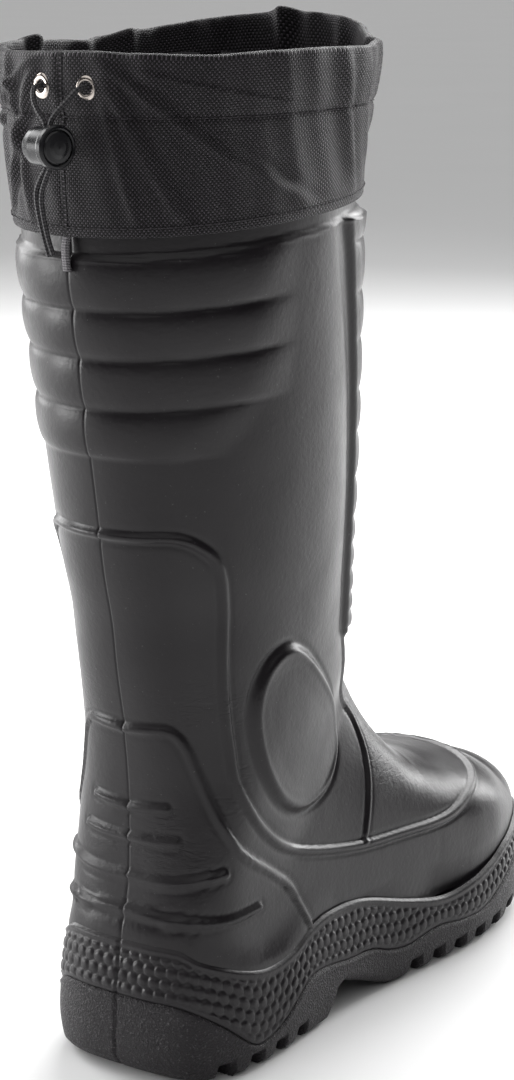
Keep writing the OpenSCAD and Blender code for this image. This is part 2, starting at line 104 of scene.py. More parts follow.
COLLAR = [(385, 87, 67.2), (410, 87.8, 67.8), (433, 88.6, 70.8), (460, 88.6, 75.5)]
COLLAR_Y = 85
COLLAR_POWER = 2.15
COLLAR_TOP = 460
HEM_Z = 385
CASING_Z = 433
HEM_TILT = 0.06
FOLD_RISE = 11
FOLD_ANGLE = 184
FABRIC = 1.2
CASING_IN = FABRIC + 3

EYELET_Z = 446
EYELET_X = {"left": 10.3, "right": -12.7}
EYELET_R = 5.4
EYELET_HOLE_R = 2.5
CORD_D = 2.2

# Free ends of the drawcord, from the eyelets down through the lock
TAILS = {
    "left": [(10.3, 171.8, 446), (10.3, 175, 446.2), (9.6, 179, 445.2), (7, 182.6, 441),
             (3, 184.6, 436.5), (-1, 185.5, 432.5), (-1.8, 185.7, 428), (-1.8, 185.7, 418),
             (-1.2, 185.7, 414), (1.5, 185.6, 410), (4, 185.4, 405), (4.2, 185.2, 400),
             (3, 185, 393), (1, 184.6, 385), (-0.8, 184, 378)],
    "right": [(-12.7, 171.4, 446), (-12.7, 175, 446.2), (-12.2, 178.6, 445.2), (-10, 182.4, 441),
              (-6.6, 185, 436.5), (-4.6, 186.2, 432.5), (-4.3, 186.4, 428), (-4.3, 186.4, 418),
              (-3.8, 186.4, 414), (-1.8, 186.4, 410), (0.4, 186.2, 405), (1, 186, 400),
              (0, 185.8, 393), (-1.8, 185.4, 385), (-3.6, 184.8, 379)],
}

# ---- curves and small mathematics ----


def curve(table, u):
    """Smooth curve through a table of knots, held at its ends."""
    knots = np.array(table, float)
    x, y = knots[:, 0], knots[:, 1]
    index = np.arange(len(x))
    a, b = np.maximum(index - 1, 0), np.minimum(index + 1, len(x) - 1)
    slope = (y[b] - y[a]) / (x[b] - x[a])
    u = np.clip(np.asarray(u, float), x[0], x[-1])
    i = np.clip(np.searchsorted(x, u, side="right") - 1, 0, len(x) - 2)
    h = x[i + 1] - x[i]
    k = (u - x[i]) / h
    p, q, m, n = y[i], y[i + 1], slope[i] * h, slope[i + 1] * h
    return p + k * (m + k * (3 * (q - p) - 2 * m - n + k * (m + n - 2 * (q - p))))


def blend(a, b, x):
    k = np.clip((np.asarray(x, float) - a) / (b - a), 0, 1)
    return k * k * (3 - 2 * k)


def bell(x, width):
    return np.exp(-((np.asarray(x, float) / width) ** 2))


def signed_power(v, e):
    return np.sign(v) * np.abs(v) ** e


def soft_min(a, b, r):
    h = np.clip(0.5 + 0.5 * (b - a) / r, 0, 1)
    return b * (1 - h) + a * h - r * h * (1 - h)


def through(points, per, closed=False):
    """Catmull-Rom line through given points, each stretch cut in `per`."""
    p = np.array(points, float)
    q = np.vstack([p[-1:], p, p[:2]] if closed else [p[:1], p, p[-1:]])
    k = (np.arange(per) / per)[:, None]
    out = []
    for a, b, c, d in zip(q, q[1:], q[2:], q[3:]):
        out.append(0.5 * (2 * b + k * (c - a) + k**2 * (2 * a - 5 * b + 4 * c - d)
                          + k**3 * (3 * b - a - 3 * c + d)))
    if not closed:
        out.append(p[-1:])
    return np.vstack(out)


def lengths(line):
    """Length along a line, up to each of its points."""
    return np.concatenate([[0], np.cumsum(np.linalg.norm(np.diff(line, axis=0), axis=1))])


def spaced(line, step, closed=False):
    """The same line with points an even step apart."""
    loop = np.vstack([line, line[:1]]) if closed else line
    along = lengths(loop)
    count = max(int(round(along[-1] / step)), 2)
    at = np.linspace(0, along[-1], count + 1)
    if closed:
        at = at[:-1]
    return np.stack([np.interp(at, along, loop[:, i]) for i in range(loop.shape[1])], 1)


def distance_to_line(points, line, reach):
    """Distance from each point to a line, where it is within reach; elsewhere the reach."""
    low, high = line.min(0) - reach, line.max(0) + reach
    near = np.all((points > low) & (points < high), axis=1)
    p = points[near]
    best = np.full(len(p), float(reach))
    for a, b in zip(line[:-1], line[1:]):
        d = b - a
        k = np.clip((p - a) @ d / max(d @ d, 1e-9), 0, 1)
        best = np.minimum(best, np.linalg.norm(p - a - k[:, None] * d, axis=1))
    out = np.full(len(points), float(reach))
    out[near] = best
    return out


def unit(v):
    return v / np.maximum(np.linalg.norm(v, axis=-1, keepdims=True), 1e-9)


# ---- meshes ----


def grid_faces(rows, columns):
    """Quads of a grid whose columns close into rings."""
    j, i = np.meshgrid(np.arange(rows - 1), np.arange(columns), indexing="ij")
    a = j * columns + i
    b = j * columns + (i + 1) % columns
    return np.stack([a, b, b + columns, a + columns], -1).reshape(-1, 4)


def link(name, data):
    ob = bpy.data.objects.new(name, data)
    bpy.context.scene.collection.objects.link(ob)
    return ob


def piece(name, points, faces, material, replaces):
    """One smooth mesh piece from points in millimetres, riding on the boot."""
    mesh = bpy.data.meshes.new(name)
    mesh.from_pydata((np.asarray(points, float) * MM).tolist(), [],
                     [list(map(int, f)) for f in faces])
    mesh.validate()
    mesh.polygons.foreach_set("use_smooth", [True] * len(mesh.polygons))
    mesh.materials.append(material)
    ob = link(name, mesh)
    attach(ob, "boot")
    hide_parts(*replaces)
    return ob


def set_attribute(ob, name, values):
    """A vector attribute on the points, for the material to read."""
    data = np.zeros((len(ob.data.vertices), 3))
    values = np.asarray(values, float)
    data[:, : values.shape[1]] = values
    layer = ob.data.attributes.new(name, "FLOAT_VECTOR", "POINT")
    layer.data.foreach_set("vector", data.ravel())


def ring_normals(grid):
    """Outward normals of a grid of rings."""
    along = np.gradient(grid, axis=0)
    around = np.roll(grid, -1, 1) - np.roll(grid, 1, 1)
    n = unit(np.cross(along, around))
    outward = grid - grid.mean(1, keepdims=True)
    flip = np.sign(np.sum(n * outward, -1).mean(1))
    return n * np.where(flip == 0, 1, flip)[:, None, None]


def capped(rows, columns):
    """Faces that close the first and the last ring of a grid, each to one added point."""
    first, last = rows * columns, rows * columns + 1
    start = (rows - 1) * columns
    a = [(first, (i + 1) % columns, i) for i in range(columns)]
    b = [(last, start + i, start + (i + 1) % columns) for i in range(columns)]
    return a + b


def capped_piece(name, grid, ends, material, replaces):
    """A piece from a grid of rings, its first and last ring each closed to a point of `ends`."""
    rows, columns = grid.shape[:2]
    faces = list(grid_faces(rows, columns)) + capped(rows, columns)
    return piece(name, np.vstack([grid.reshape(-1, 3), ends]), faces, material, replaces)


def looped_piece(name, grid, material, replaces):
    """A piece from a grid of rings, the last ring joined to the first."""
    rows, columns = grid.shape[:2]
    faces = grid_faces(rows + 1, columns) % (rows * columns)
    return piece(name, grid.reshape(-1, 3), faces, material, replaces)


def set_cloth(ob, u, v):
    """Coordinates in the cloth of each point of a grid, in millimetres."""
    set_attribute(ob, "cloth", np.stack(np.broadcast_arrays(u, v), -1).reshape(-1, 2))


def tube(line, radius, sides):
    """Points, faces and (along, around) of a tube swept along a line, closed at both ends."""
    t = unit(np.gradient(line, axis=0))
    guide = np.where(np.abs(t[:, 2:3]) > 0.9, np.array([[0.0, 1, 0]]), np.array([[0.0, 0, 1]]))
    u = unit(np.cross(guide, t))
    for i in range(1, len(u)):
        u[i] = unit(u[i - 1] - t[i] * (u[i - 1] @ t[i]))
    v = np.cross(t, u)
    angle = 2 * np.pi * np.arange(sides) / sides
    radius = np.broadcast_to(np.asarray(radius, float), (len(line),))
    grid = (line[:, None] + radius[:, None, None] * (np.cos(angle)[None, :, None] * u[:, None]
            + np.sin(angle)[None, :, None] * v[:, None]))
    along = lengths(line)
    coords = np.stack(np.broadcast_arrays(along[:, None], angle[None, :]), -1).reshape(-1, 2)
    points = np.vstack([grid.reshape(-1, 3), line[:1], line[-1:]])
    coords = np.vstack([coords, [[0, 0]], [[along[-1], 0]]])
    faces = list(grid_faces(len(line), sides)) + capped(len(line), sides)
    return points, faces, coords


def lathe(profile, sides, at, axis):
    """Points and faces of a profile of (along, radius), turned about an axis through a point."""
    u = unit(np.cross((0.0, 0.0, 1.0), axis))
    v = np.cross(axis, u)
    angle = 2 * np.pi * np.arange(sides) / sides
    ring = np.cos(angle)[:, None] * u + np.sin(angle)[:, None] * v
    grid = np.array([at + a * axis + r * ring for a, r in profile])
    return grid.reshape(-1, 3), grid_faces(len(profile), sides)


# ---- materials ----


class Shader:
    """A node material on one Principled shader; constants are set on its own sockets."""

    def __init__(self, name, **constants):
        self.material = bpy.data.materials.new(name)
        self.material.use_nodes = True
        self.tree = self.material.node_tree
        self.bsdf = self.tree.nodes["Principled BSDF"]
        for key, value in constants.items():
            self.bsdf.inputs[key.replace("_", " ")].default_value = value
        self.where = self.add("ShaderNodeTexCoord").outputs["Object"]

    def add(self, kind, **settings):
        made = self.tree.nodes.new(kind)
        for key, value in settings.items():
            setattr(made, key, value)
        return made

    def put(self, socket, value):
        if isinstance(value, bpy.types.NodeSocket):
            self.tree.links.new(value, socket)
        else:
            socket.default_value = value

    def attribute(self, name):
        return self.add("ShaderNodeAttribute", attribute_name=name).outputs["Vector"]

    def split(self, vector):
        made = self.add("ShaderNodeSeparateXYZ")
        self.put(made.inputs[0], vector)
        return made.outputs

    def stretch(self, vector, scale):
        made = self.add("ShaderNodeVectorMath", operation="MULTIPLY")
        self.put(made.inputs[0], vector)
        self.put(made.inputs[1], scale)
        return made.outputs[0]

    def noise(self, scale, detail=3.0, roughness=0.5, vector=None, distortion=0.0):
        made = self.add("ShaderNodeTexNoise")
        values = {"Vector": self.where if vector is None else vector, "Scale": scale,
                  "Detail": detail, "Roughness": roughness, "Distortion": distortion}
        for key, value in values.items():
            self.put(made.inputs[key], value)
        return made.outputs["Fac"]

    def math(self, operation, a, b=0.0):
        made = self.add("ShaderNodeMath", operation=operation)
        self.put(made.inputs[0], a)
        self.put(made.inputs[1], b)
        return made.outputs[0]

    def times(self, a, b):
        return self.math("MULTIPLY", a, b)

    def plus(self, a, b):
        return self.math("ADD", a, b)

    def sine(self, a):
        return self.math("SINE", a)

    def remap(self, value, low, high, to_low=0.0, to_high=1.0, smooth=False):
        made = self.add("ShaderNodeMapRange")
        if smooth:
            made.interpolation_type = "SMOOTHSTEP"
        for i, v in enumerate((value, low, high, to_low, to_high)):
            self.put(made.inputs[i], v)
        return made.outputs[0]

    def colours(self, factor, a, b):
        made = self.add("ShaderNodeMix", data_type="RGBA")
        self.put(made.inputs["Factor"], factor)
        self.put(made.inputs[6], (*a, 1) if isinstance(a, tuple) else a)
        self.put(made.inputs[7], (*b, 1) if isinstance(b, tuple) else b)
        return made.outputs[2]

    def bump(self, height, distance, strength=1.0, normal=None):
        made = self.add("ShaderNodeBump")
        self.put(made.inputs["Height"], height)
        self.put(made.inputs["Distance"], distance)
        self.put(made.inputs["Strength"], strength)
        if normal is not None:
            self.put(made.inputs["Normal"], normal)
        return made.outputs["Normal"]

    def finish(self, colour, roughness, normal=None):
        for key, value in (("Base Color", colour), ("Roughness", roughness), ("Normal", normal)):
            if value is not None:
                self.put(self.bsdf.inputs[key], value)
        return self.material


def eva_shell_material():
    """Satin moulded foam: cloudy colour, a pitted skin, fine creases round the ankle."""
    s = Shader("eva_shell", Specular_IOR_Level=0.36)
    cloud = s.noise(9, 4)
    fleck = s.remap(s.noise(700, 1), 0.74, 0.8)
    colour = s.colours(cloud, (0.0062, 0.0048, 0.0062), (0.0105, 0.0086, 0.0105))
    colour = s.colours(s.times(fleck, 0.35), colour, (0.11, 0.105, 0.11))
    roughness = s.remap(s.noise(34, 5, 0.6), 0.3, 0.7, 0.3, 0.42)
    x, y, z = s.split(s.where)
    low = s.remap(z, 0.085, 0.115, smooth=True)
    high = s.remap(z, 0.2, 0.165, smooth=True)
    hind = s.remap(y, 0.095, 0.115, smooth=True)
    fore = s.remap(y, 0.012, -0.01, smooth=True)
    bends = s.math("MAXIMUM", hind, s.times(fore, 0.8))
    ankle = s.times(s.times(low, high), bends)
    patch = s.remap(s.noise(14, 2), 0.42, 0.62, smooth=True)
    crease = s.noise(190, 4, 0.6, vector=s.stretch(s.where, (0.35, 0.35, 1.6)), distortion=0.8)
    creases = s.times(s.math("ABSOLUTE", s.math("SUBTRACT", crease, 0.5)), -2.0)
    creased = s.times(creases, s.times(ankle, patch))
    normal = s.bump(creased, 0.0009, 0.55)
    normal = s.bump(s.noise(420, 3, 0.6), 0.00022, 0.6, normal)
    normal = s.bump(s.noise(60, 3), 0.0006, 0.35, normal)
    return s.finish(colour, roughness, normal)


def eva_band_material():
    """The domed band: the same foam, a little duller."""
    s = Shader("eva_band", Specular_IOR_Level=0.36)
    colour = s.colours(s.noise(12, 4), (0.0072, 0.0057, 0.0072), (0.0125, 0.0104, 0.0125))
    roughness = s.remap(s.noise(60, 4), 0.3, 0.7, 0.32, 0.44)
    normal = s.bump(s.noise(500, 3, 0.6), 0.0003, 0.6)
    return s.finish(colour, roughness, normal)


def eva_tread_material():
    """The granular tread: grains about a millimetre across."""
    s = Shader("eva_tread", Specular_IOR_Level=0.35)
    grain = s.noise(1000, 2, 0.6)
    colour = s.colours(s.noise(15, 4), (0.0095, 0.0078, 0.0097), (0.02, 0.0172, 0.02))
    # Painted glints: the tops of the grains are painted light so that the tread sparkles.
    grain_glint = s.remap(grain, 0.6, 0.72)
    colour = s.colours(s.times(grain_glint, 0.5), colour, (0.16, 0.15, 0.16))
    roughness = s.remap(grain, 0.35, 0.7, 0.6, 0.36)
    normal = s.bump(grain, 0.0014, 1.0)
    return s.finish(colour, roughness, normal)


def weave(s, cloth, pitch):
    """Height of a plain weave, -1 to 1, in cloth coordinates of millimetres."""
    u, v, _ = s.split(cloth)
    across = s.sine(s.times(u, math.pi / pitch))
    up = s.sine(s.times(v, math.pi / pitch))
    return s.times(across, up)


def collar_material():
    """Coarse black nylon: the warp floats carry a painted glint, lighter than the weft, on the
    nylon's near black.
    """
    s = Shader("collar_nylon", Specular_IOR_Level=0.35, Sheen_Weight=0.04, Sheen_Roughness=0.4)
    cloth = s.attribute("cloth")
    wander = s.noise(0.09, 2, vector=cloth)
    u, v, _ = s.split(cloth)
    shifted = s.add("ShaderNodeCombineXYZ")
    s.put(shifted.inputs[0], s.plus(u, s.times(wander, 1.2)))
    s.put(shifted.inputs[1], s.plus(v, s.times(wander, 0.8)))
    yarns = weave(s, shifted.outputs[0], 1.0)
    warp = s.remap(yarns, 0.05, 0.75)
    uneven = s.remap(s.noise(0.9, 2, vector=cloth), 0.3, 0.75)
    # Painted glint: the warp floats are painted lighter, more in some patches than others, in place
    # of the nylon's sheen.
    light = s.times(warp, s.remap(uneven, 0, 1, 0.25, 1))
    colour = s.colours(light, (0.002, 0.0015, 0.0022), (0.115, 0.098, 0.117))
    roughness = s.remap(yarns, -1, 1, 0.75, 0.46)
    height = s.plus(s.math("ABSOLUTE", yarns), s.times(warp, 0.35))
    normal = s.bump(height, 0.0004, 0.9)
    normal = s.bump(s.noise(30, 3), 0.0012, 0.25, normal)
    return s.finish(colour, roughness, normal)


def lining_material():
    """Smooth coated lining."""
    s = Shader("lining_nylon", Specular_IOR_Level=0.4)
    yarns = weave(s, s.attribute("cloth"), 0.35)
    colour = s.colours(s.noise(25, 3), (0.19, 0.19, 0.205), (0.28, 0.28, 0.3))
    normal = s.bump(yarns, 0.0001, 0.5)
    normal = s.bump(s.noise(45, 4), 0.002, 0.5, normal)
    return s.finish(colour, s.remap(yarns, -1, 1, 0.62, 0.5), normal)


def felt_material(name, dark, light):
    """Needled felt: matted fibres, no gloss."""
    s = Shader(name, Specular_IOR_Level=0.15, Sheen_Weight=0.25, Sheen_Roughness=0.6)
    fibre = s.noise(900, 5, 0.75, distortion=1.5)
    tone = s.plus(s.times(fibre, 0.7), s.times(s.noise(40, 3), 0.4))
    colour = s.colours(s.remap(tone, 0.35, 0.75), dark, light)
    normal = s.bump(fibre, 0.0009, 0.8)
    return s.finish(colour, s.remap(fibre, 0.3, 0.7, 0.98, 0.85), normal)


def thread_material():
    s = Shader("thread", Specular_IOR_Level=0.4)
    twist = s.noise(2600, 2)
    colour = s.colours(twist, (0.01, 0.0085, 0.0105), (0.06, 0.052, 0.06))
    return s.finish(colour, s.remap(twist, 0.3, 0.7, 0.7, 0.5), s.bump(twist, 0.0003, 0.6))


def ribbon_material(name, dark, light, pitch):
    """Woven tape with ribs across it."""
    s = Shader(name, Specular_IOR_Level=0.35)
    along, across, _ = s.split(s.attribute("cloth"))
    rib = s.sine(s.times(along, 2 * math.pi / pitch))
    edge = s.sine(s.times(across, 2 * math.pi / (pitch * 1.6)))
    both = s.plus(s.times(rib, 0.7), s.times(edge, 0.3))
    fuzz = s.noise(1400, 3)
    # The colour follows the ribs' height, with a fuzz of random tone: painted highlight on the rib
    # crests, painted shade in the furrows.
    colour = s.colours(s.remap(s.plus(both, fuzz), -0.6, 1.6), dark, light)
    normal = s.bump(both, 0.00025, 0.8)
    return s.finish(colour, s.remap(fuzz, 0.3, 0.7, 0.85, 0.68), normal)


def cord_material():
    """Braided elastic cord: two sets of strands winding opposite ways."""
    s = Shader("cord", Specular_IOR_Level=0.35)
    along, around, _ = s.split(s.attribute("cloth"))
    turn = s.times(along, 2.1)
    right = s.sine(s.plus(turn, s.times(around, 3.0)))
    left = s.sine(s.math("SUBTRACT", turn, s.times(around, 3.0)))
    braid = s.times(right, left)
    # The colour follows the braid's height: painted highlight on the strand crests, painted shade
    # in the hollows between them.
    colour = s.colours(s.remap(braid, -0.6, 0.8), (0.014, 0.014, 0.016), (0.085, 0.08, 0.085))
    normal = s.bump(braid, 0.0003, 0.8)
    return s.finish(colour, s.remap(braid, -1, 1, 0.75, 0.5), normal)


def gloss_material(name, dark, light, rough):
    """Glossy moulded plastic with faint scratches and dust."""
    s = Shader(name, Specular_IOR_Level=0.32)
    haze = s.noise(120, 4)
    colour = s.colours(haze, dark, light)
    scratch = s.noise(700, 2, vector=s.stretch(s.where, (1, 1, 0.15)))
    roughness = s.remap(haze, 0.3, 0.7, rough, rough + 0.12)
    return s.finish(colour, roughness, s.bump(scratch, 0.00006, 0.4))


def metal_material(name, colour_a, colour_b, rough):
    s = Shader(name, Metallic=1.0)
    smear = s.noise(260, 4)
    colour = s.colours(smear, colour_a, colour_b)
    normal = s.bump(s.noise(1500, 2), 0.00005, 0.4)
    return s.finish(colour, s.remap(smear, 0.3, 0.7, rough, rough + 0.14), normal)


def floor_material():
    s = Shader("floor_paint", Specular_IOR_Level=0.2)
    colour = s.colours(s.noise(3, 3), (0.9, 0.9, 0.9), (0.93, 0.93, 0.93))
    return s.finish(colour, s.remap(s.noise(20, 3), 0.3, 0.7, 0.75, 0.85))


SHELL_EVA = eva_shell_material()
BAND_EVA = eva_band_material()
TREAD_EVA = eva_tread_material()
NYLON = collar_material()
LINING = lining_material()
FELT = felt_material("liner_felt", (0.2, 0.205, 0.215), (0.4, 0.405, 0.42))
FOOTBED_FELT = felt_material("footbed_felt", (0.05, 0.052, 0.058), (0.14, 0.145, 0.155))
THREAD = thread_material()
BINDING = ribbon_material("binding_tape", (0.03, 0.03, 0.034), (0.1, 0.1, 0.108), 1.2)
WEBBING = ribbon_material("webbing", (0.012, 0.012, 0.014), (0.05, 0.05, 0.055), 1.6)
TAPE = ribbon_material("seam_tape", (0.05, 0.046, 0.052), (0.2, 0.19, 0.2), 1.1)
NICKEL = metal_material("nickel", (0.62, 0.55, 0.5), (0.78, 0.71, 0.66), 0.16)
STEEL = metal_material("spring_steel", (0.45, 0.45, 0.47), (0.62, 0.62, 0.65), 0.25)
CORD = cord_material()
LOCK_PLASTIC = gloss_material("lock_plastic", (0.005, 0.005, 0.006), (0.01, 0.01, 0.012), 0.22)
BUTTON_PLASTIC = gloss_material("button_plastic", (0.01, 0.01, 0.011), (0.02, 0.02, 0.022), 0.17)

# ---- the upper: sections that are horizontal, then fan round a pivot, then stand upright ----


def section(s, inset):
    s = np.asarray(s, float)
    level, upright = s <= 0, s >= 90
    turn = np.radians(np.clip(s, 0, 90))
    y = np.where(upright, PIVOT_Y - (s - 90), PIVOT_Y)
    z = np.where(level, PIVOT_Z - s, PIVOT_Z)
    front = curve(FRONT, s)
    reach = np.full_like(s, 190.0)
    for _ in range(8):
        height = np.maximum(PIVOT_Z - reach * np.sin(turn), FLOOR_Z)
        reach = (curve(BACK, height) - PIVOT_Y) / np.maximum(np.cos(turn), 0.05)
        reach = np.minimum(reach, 700)
    depth = PIVOT_Z - FLOOR_Z
    fan = soft_min(reach, depth / np.maximum(np.sin(turn), 1e-6), 16.0)
    back = np.where(level, curve(BACK, z) - PIVOT_Y, np.where(upright, depth, fan))
    k = np.clip((CAP_Y - y) / (CAP_Y - UPPER_TOE - inset), 0, 1)
    side = np.maximum(1 - k**2.4, 0) ** (1 / 2.2)
    rise = np.maximum(1 - k**2.6, 0) ** (1 / 2.2)
    top = PIVOT_Z - front - inset - CAP_MID_Z
    near = np.where(upright, PIVOT_Z - CAP_MID_Z - top * rise, front + inset)
    below = CAP_MID_Z - FLOOR_Z - inset
    far = np.where(upright, PIVOT_Z - CAP_MID_Z + below * rise, back - inset)
    half = (curve(HALF, s) - inset) * side
    return y, z, np.cos(turn), -np.sin(turn), near, far, half, curve(CENTRE, s)


def upper(s, angle, inset=0.0):
    """Grid of points of the upper: a row for each station s, a column for each angle."""
    s = np.asarray(s, float)
    y, z, dy, dz, near, far, half, centre = section(s, inset)
    middle = near + (far - near) * curve(WIDEST, s)
    bp, fp = curve(BACK_POWER, s)[:, None], curve(FRONT_POWER, s)[:, None]
    c, sn = np.cos(angle)[None, :], np.sin(angle)[None, :]
    e = 2 / np.where(c >= 0, bp, fp)
    arm = np.where(c >= 0, (far - middle)[:, None], (middle - near)[:, None])
    w = middle[:, None] + arm * signed_power(c, e)
    x = centre[:, None] - half[:, None] * signed_power(sn, e)
    return np.stack([x, y[:, None] + w * dy[:, None], z[:, None] + w * dz[:, None]], -1)


def stations(top_z, shaft, fan, flat, cap, inset=0.0):
    """Stations from a height down the shaft, round the heel and along the foot to the toe."""
    straight = np.linspace(PIVOT_Z - top_z, 0, shaft)
    turning = np.linspace(0, 90, fan)[1:]
    along = 90 + np.linspace(0, PIVOT_Y - CAP_Y, flat)[1:]
    reach = CAP_Y - UPPER_TOE - inset
    rounding = 90 + PIVOT_Y - CAP_Y + reach * np.sin(np.linspace(0, np.radians(88.5), cap)[1:])
    return np.concatenate([straight, turning, along, rounding])


# ---- relief of the shell ----

# Calf pads: edges as heights at the back of the calf (CALF_Y), rising towards the front
PAD_EDGES = [289, 311, 333, 354, 377]
PAD_TILT = 0.06
PAD_BULGE = 2.6
CALF_Y = 169
# Band round the top of the shell: height of its lower edge at RIM_Y, rising towards the front
RIM_BAND_Z = 377
RIM_TILT = 0.08
RIM_Y = 169.5
# Shin strip: half width at its foot, how it widens upwards, how proud it stands, the height of
# its foot and top, how far back it reaches, and the notches between its scallops
STRIP_HALF = 38
STRIP_SPREAD = 0.12
STRIP_HEIGHT = 4.2
STRIP_FOOT = 190
STRIP_TOP = 387
STRIP_BACK_Y = 58
NOTCHES = [394, 375, 351, 329, 305, 285, 263, 243, 230, 217, 205, 196, 187]

# Raised lines on the outer side, as (x, y, z); the inner side mirrors them
WELT = [(0, 153, 255), (-16, 151, 255), (-32, 142, 255), (-40, 133, 250), (-44, 125, 240),
        (-43, 120, 219), (-41, 118, 195), (-40, 115, 170), (-41, 113, 155), (-42, 110, 137),
        (-45, 100, 119), (-44, 84, 104), (-43, 67, 94), (-44, 42, 86), (-46, 12, 80),
        (-49, -21, 77), (-52, -48, 75), (-51, -68, 76), (-46, -91, 81), (-35, -107, 85),
        (-18, -117, 88), (0, -120, 89)]
COUNTER = [(0, 137, 164), (-12, 137, 165), (-21, 134, 165), (-27, 130, 159), (-32, 125, 143),
           (-38, 120, 125), (-44, 110, 106), (-44, 86, 89), (-44, 70, 76), (-44, 58, 54)]
HEEL_RIBS = [[(0, 134, 126), (-10, 133, 127), (-19, 132, 128)],
             [(0, 134, 112), (-14, 133, 112), (-24, 131, 113)],
             [(0, 135, 94), (-20, 134, 94), (-33, 129, 96), (-41, 119, 98)],
             [(0, 137, 78), (-20, 136, 77), (-34, 131, 77), (-42, 115, 76), (-44, 97, 76)]]
PANEL_EDGE = [(-35, 19, 186), (-35, 13, 176), (-33, 9, 165), (-30, 2, 152), (-29, -5, 138),
              (-34, -6, 124), (-39, -3, 112), (-42, 1, 102), (-46, 10, 82)]
DISC = [(-44, 104, 168), (-45, 101, 183), (-48, 93, 194), (-49, 80, 198), (-48, 65, 191),
        (-46, 48, 176), (-41, 32, 160), (-36, 21, 144), (-35, 18, 130), (-38, 27, 117),
        (-41, 43, 110), (-43, 63, 110), (-44, 81, 119), (-45, 94, 134), (-44, 101, 150)]


def rib(d, half, height):
    """Round-topped rib with a shallow groove at each foot."""
    top = np.clip(1 - (d / half) ** 2, 0, 1) ** 0.8
    return height * top - 0.28 * height * bell(d - 1.3 * half, 0.4 * half)


def pads(p):
    """Four puffed pads round the back of the calf, with tight grooves between them."""
    level = p[:, 2] - PAD_TILT * (CALF_Y - p[:, 1])
    out = np.zeros(len(p))
    for n, (low, high) in enumerate(zip(PAD_EDGES[:-1], PAD_EDGES[1:])):
        start = 92 if n else 108
        k = np.clip((level - low) / (high - low), 0, 1)
        puff = (4 * k * (1 - k)) ** 0.5
        corner = blend(start, start + 30, p[:, 1] + (0 if n else 14 * (k - 1)))
        out = out + np.where((level > low) & (level < high), puff * corner, 0)
    return PAD_BULGE * out


def rim(p):
    """Recessed band at the top of the shell, with a fine lip along its lower edge."""
    level = p[:, 2] - RIM_TILT * (RIM_Y - p[:, 1]) - RIM_BAND_Z
    return -0.9 * blend(-0.8, 0.6, level) + 0.8 * bell(level + 0.9, 0.7)


def strip(p):
    """Scalloped plate down the shin, widening upwards, with a clean edge and a groove by it."""
    x, z = np.abs(p[:, 0]), p[:, 2]
    half = STRIP_HALF + STRIP_SPREAD * (z - STRIP_FOOT)
    front = 1 - blend(STRIP_BACK_Y, STRIP_BACK_Y + 12, p[:, 1])
    inside = (1 - blend(half - 0.8, half + 1.0, x)) * front
    inside = inside * blend(STRIP_FOOT - 8, STRIP_FOOT - 1, z)
    inside = inside * (1 - blend(STRIP_TOP - 1.5, STRIP_TOP, z))
    scallop = np.zeros(len(p))
    for high, low in zip(NOTCHES[:-1], NOTCHES[1:]):
        k = np.clip((z - low) / (high - low), 0, 1)
        scallop = scallop + np.where((z > low) & (z <= high), (4 * k * (1 - k)) ** 0.55, 0)
    rounded = scallop * (1 - blend(half - 4, half, x))
    groove = bell(x - half - 1.8, 1.0) * front * (1 - blend(STRIP_TOP - 3, STRIP_TOP, z))
    groove = groove * blend(STRIP_FOOT - 6, STRIP_FOOT + 4, z)
    return inside * (STRIP_HEIGHT - 1.4 + 1.6 * rounded) - 0.5 * groove


def counter_step(p):
    """Raised heel counter, behind and below its rib."""
    edge = np.array(sorted((z, y) for _, y, z in COUNTER[2:]))
    limit = np.interp(p[:, 2], edge[:, 0], edge[:, 1])
    inside = blend(-1, 1.6, p[:, 1] - limit) * (1 - blend(163.5, 166.5, p[:, 2]))
    return 1.1 * inside * (p[:, 1] > 40)


def disc_relief(p, line):
    """Oval boss over the ankle: bevelled edge, groove at its foot, slightly dished top."""
    d = distance_to_line(p, np.vstack([line, line[:1]]), 16)
    side = inside_outline(p[:, 1:], line[:, 1:]) & (p[:, 0] * line[:, 0].mean() > 0)
    signed = np.where(side, d, -d)
    raised = 2.7 * blend(0, 4.2, signed) - 0.5 * blend(5, 15, signed)
    return raised - 0.6 * bell(signed + 1.0, 1.1) + 0.5 * bell(signed - 4.6, 1.4)


def inside_outline(points, outline):
    """Which of the points in a plane lie inside a closed outline."""
    x, y = points[:, 0], points[:, 1]
    inside = np.zeros(len(points), bool)
    for (x1, y1), (x2, y2) in zip(outline, np.roll(outline, -1, 0)):
        if y1 == y2:
            continue
        cross = (y1 > y) != (y2 > y)
        inside ^= cross & (x < (x2 - x1) * (y - y1) / (y2 - y1) + x1)
    return inside


def flared(points):
    """The lower edge of the upper, drawn out sideways until it meets the band's lip."""
    line, normal, _ = outline_loop(1.5)
    edge = curve(BAND_TOP, line[:, 1])
    lip = line + normal * (curve(SIDE, edge) - 1.3)[:, None]
    low = np.flatnonzero(points[:, 2] < 92)
    out = points.copy()
    for part in np.array_split(low, 30):
        p = points[part]
        near = ((p[:, None, :2] - lip[None]) ** 2).sum(-1).argmin(1)
        gap = np.sum((lip[near] - p[:, :2]) * normal[near], 1)
        fade = (1 - blend(-1.5, 20, p[:, 2] - edge[near])) ** 1.4 * (1 - blend(13, 22, gap))
        out[part, :2] += normal[near] * (np.maximum(gap, 0) * fade)[:, None]
        out[part, 2] -= 9 * (1 - blend(38, 50, p[:, 2])) * (1 - blend(13, 22, gap))
    return out


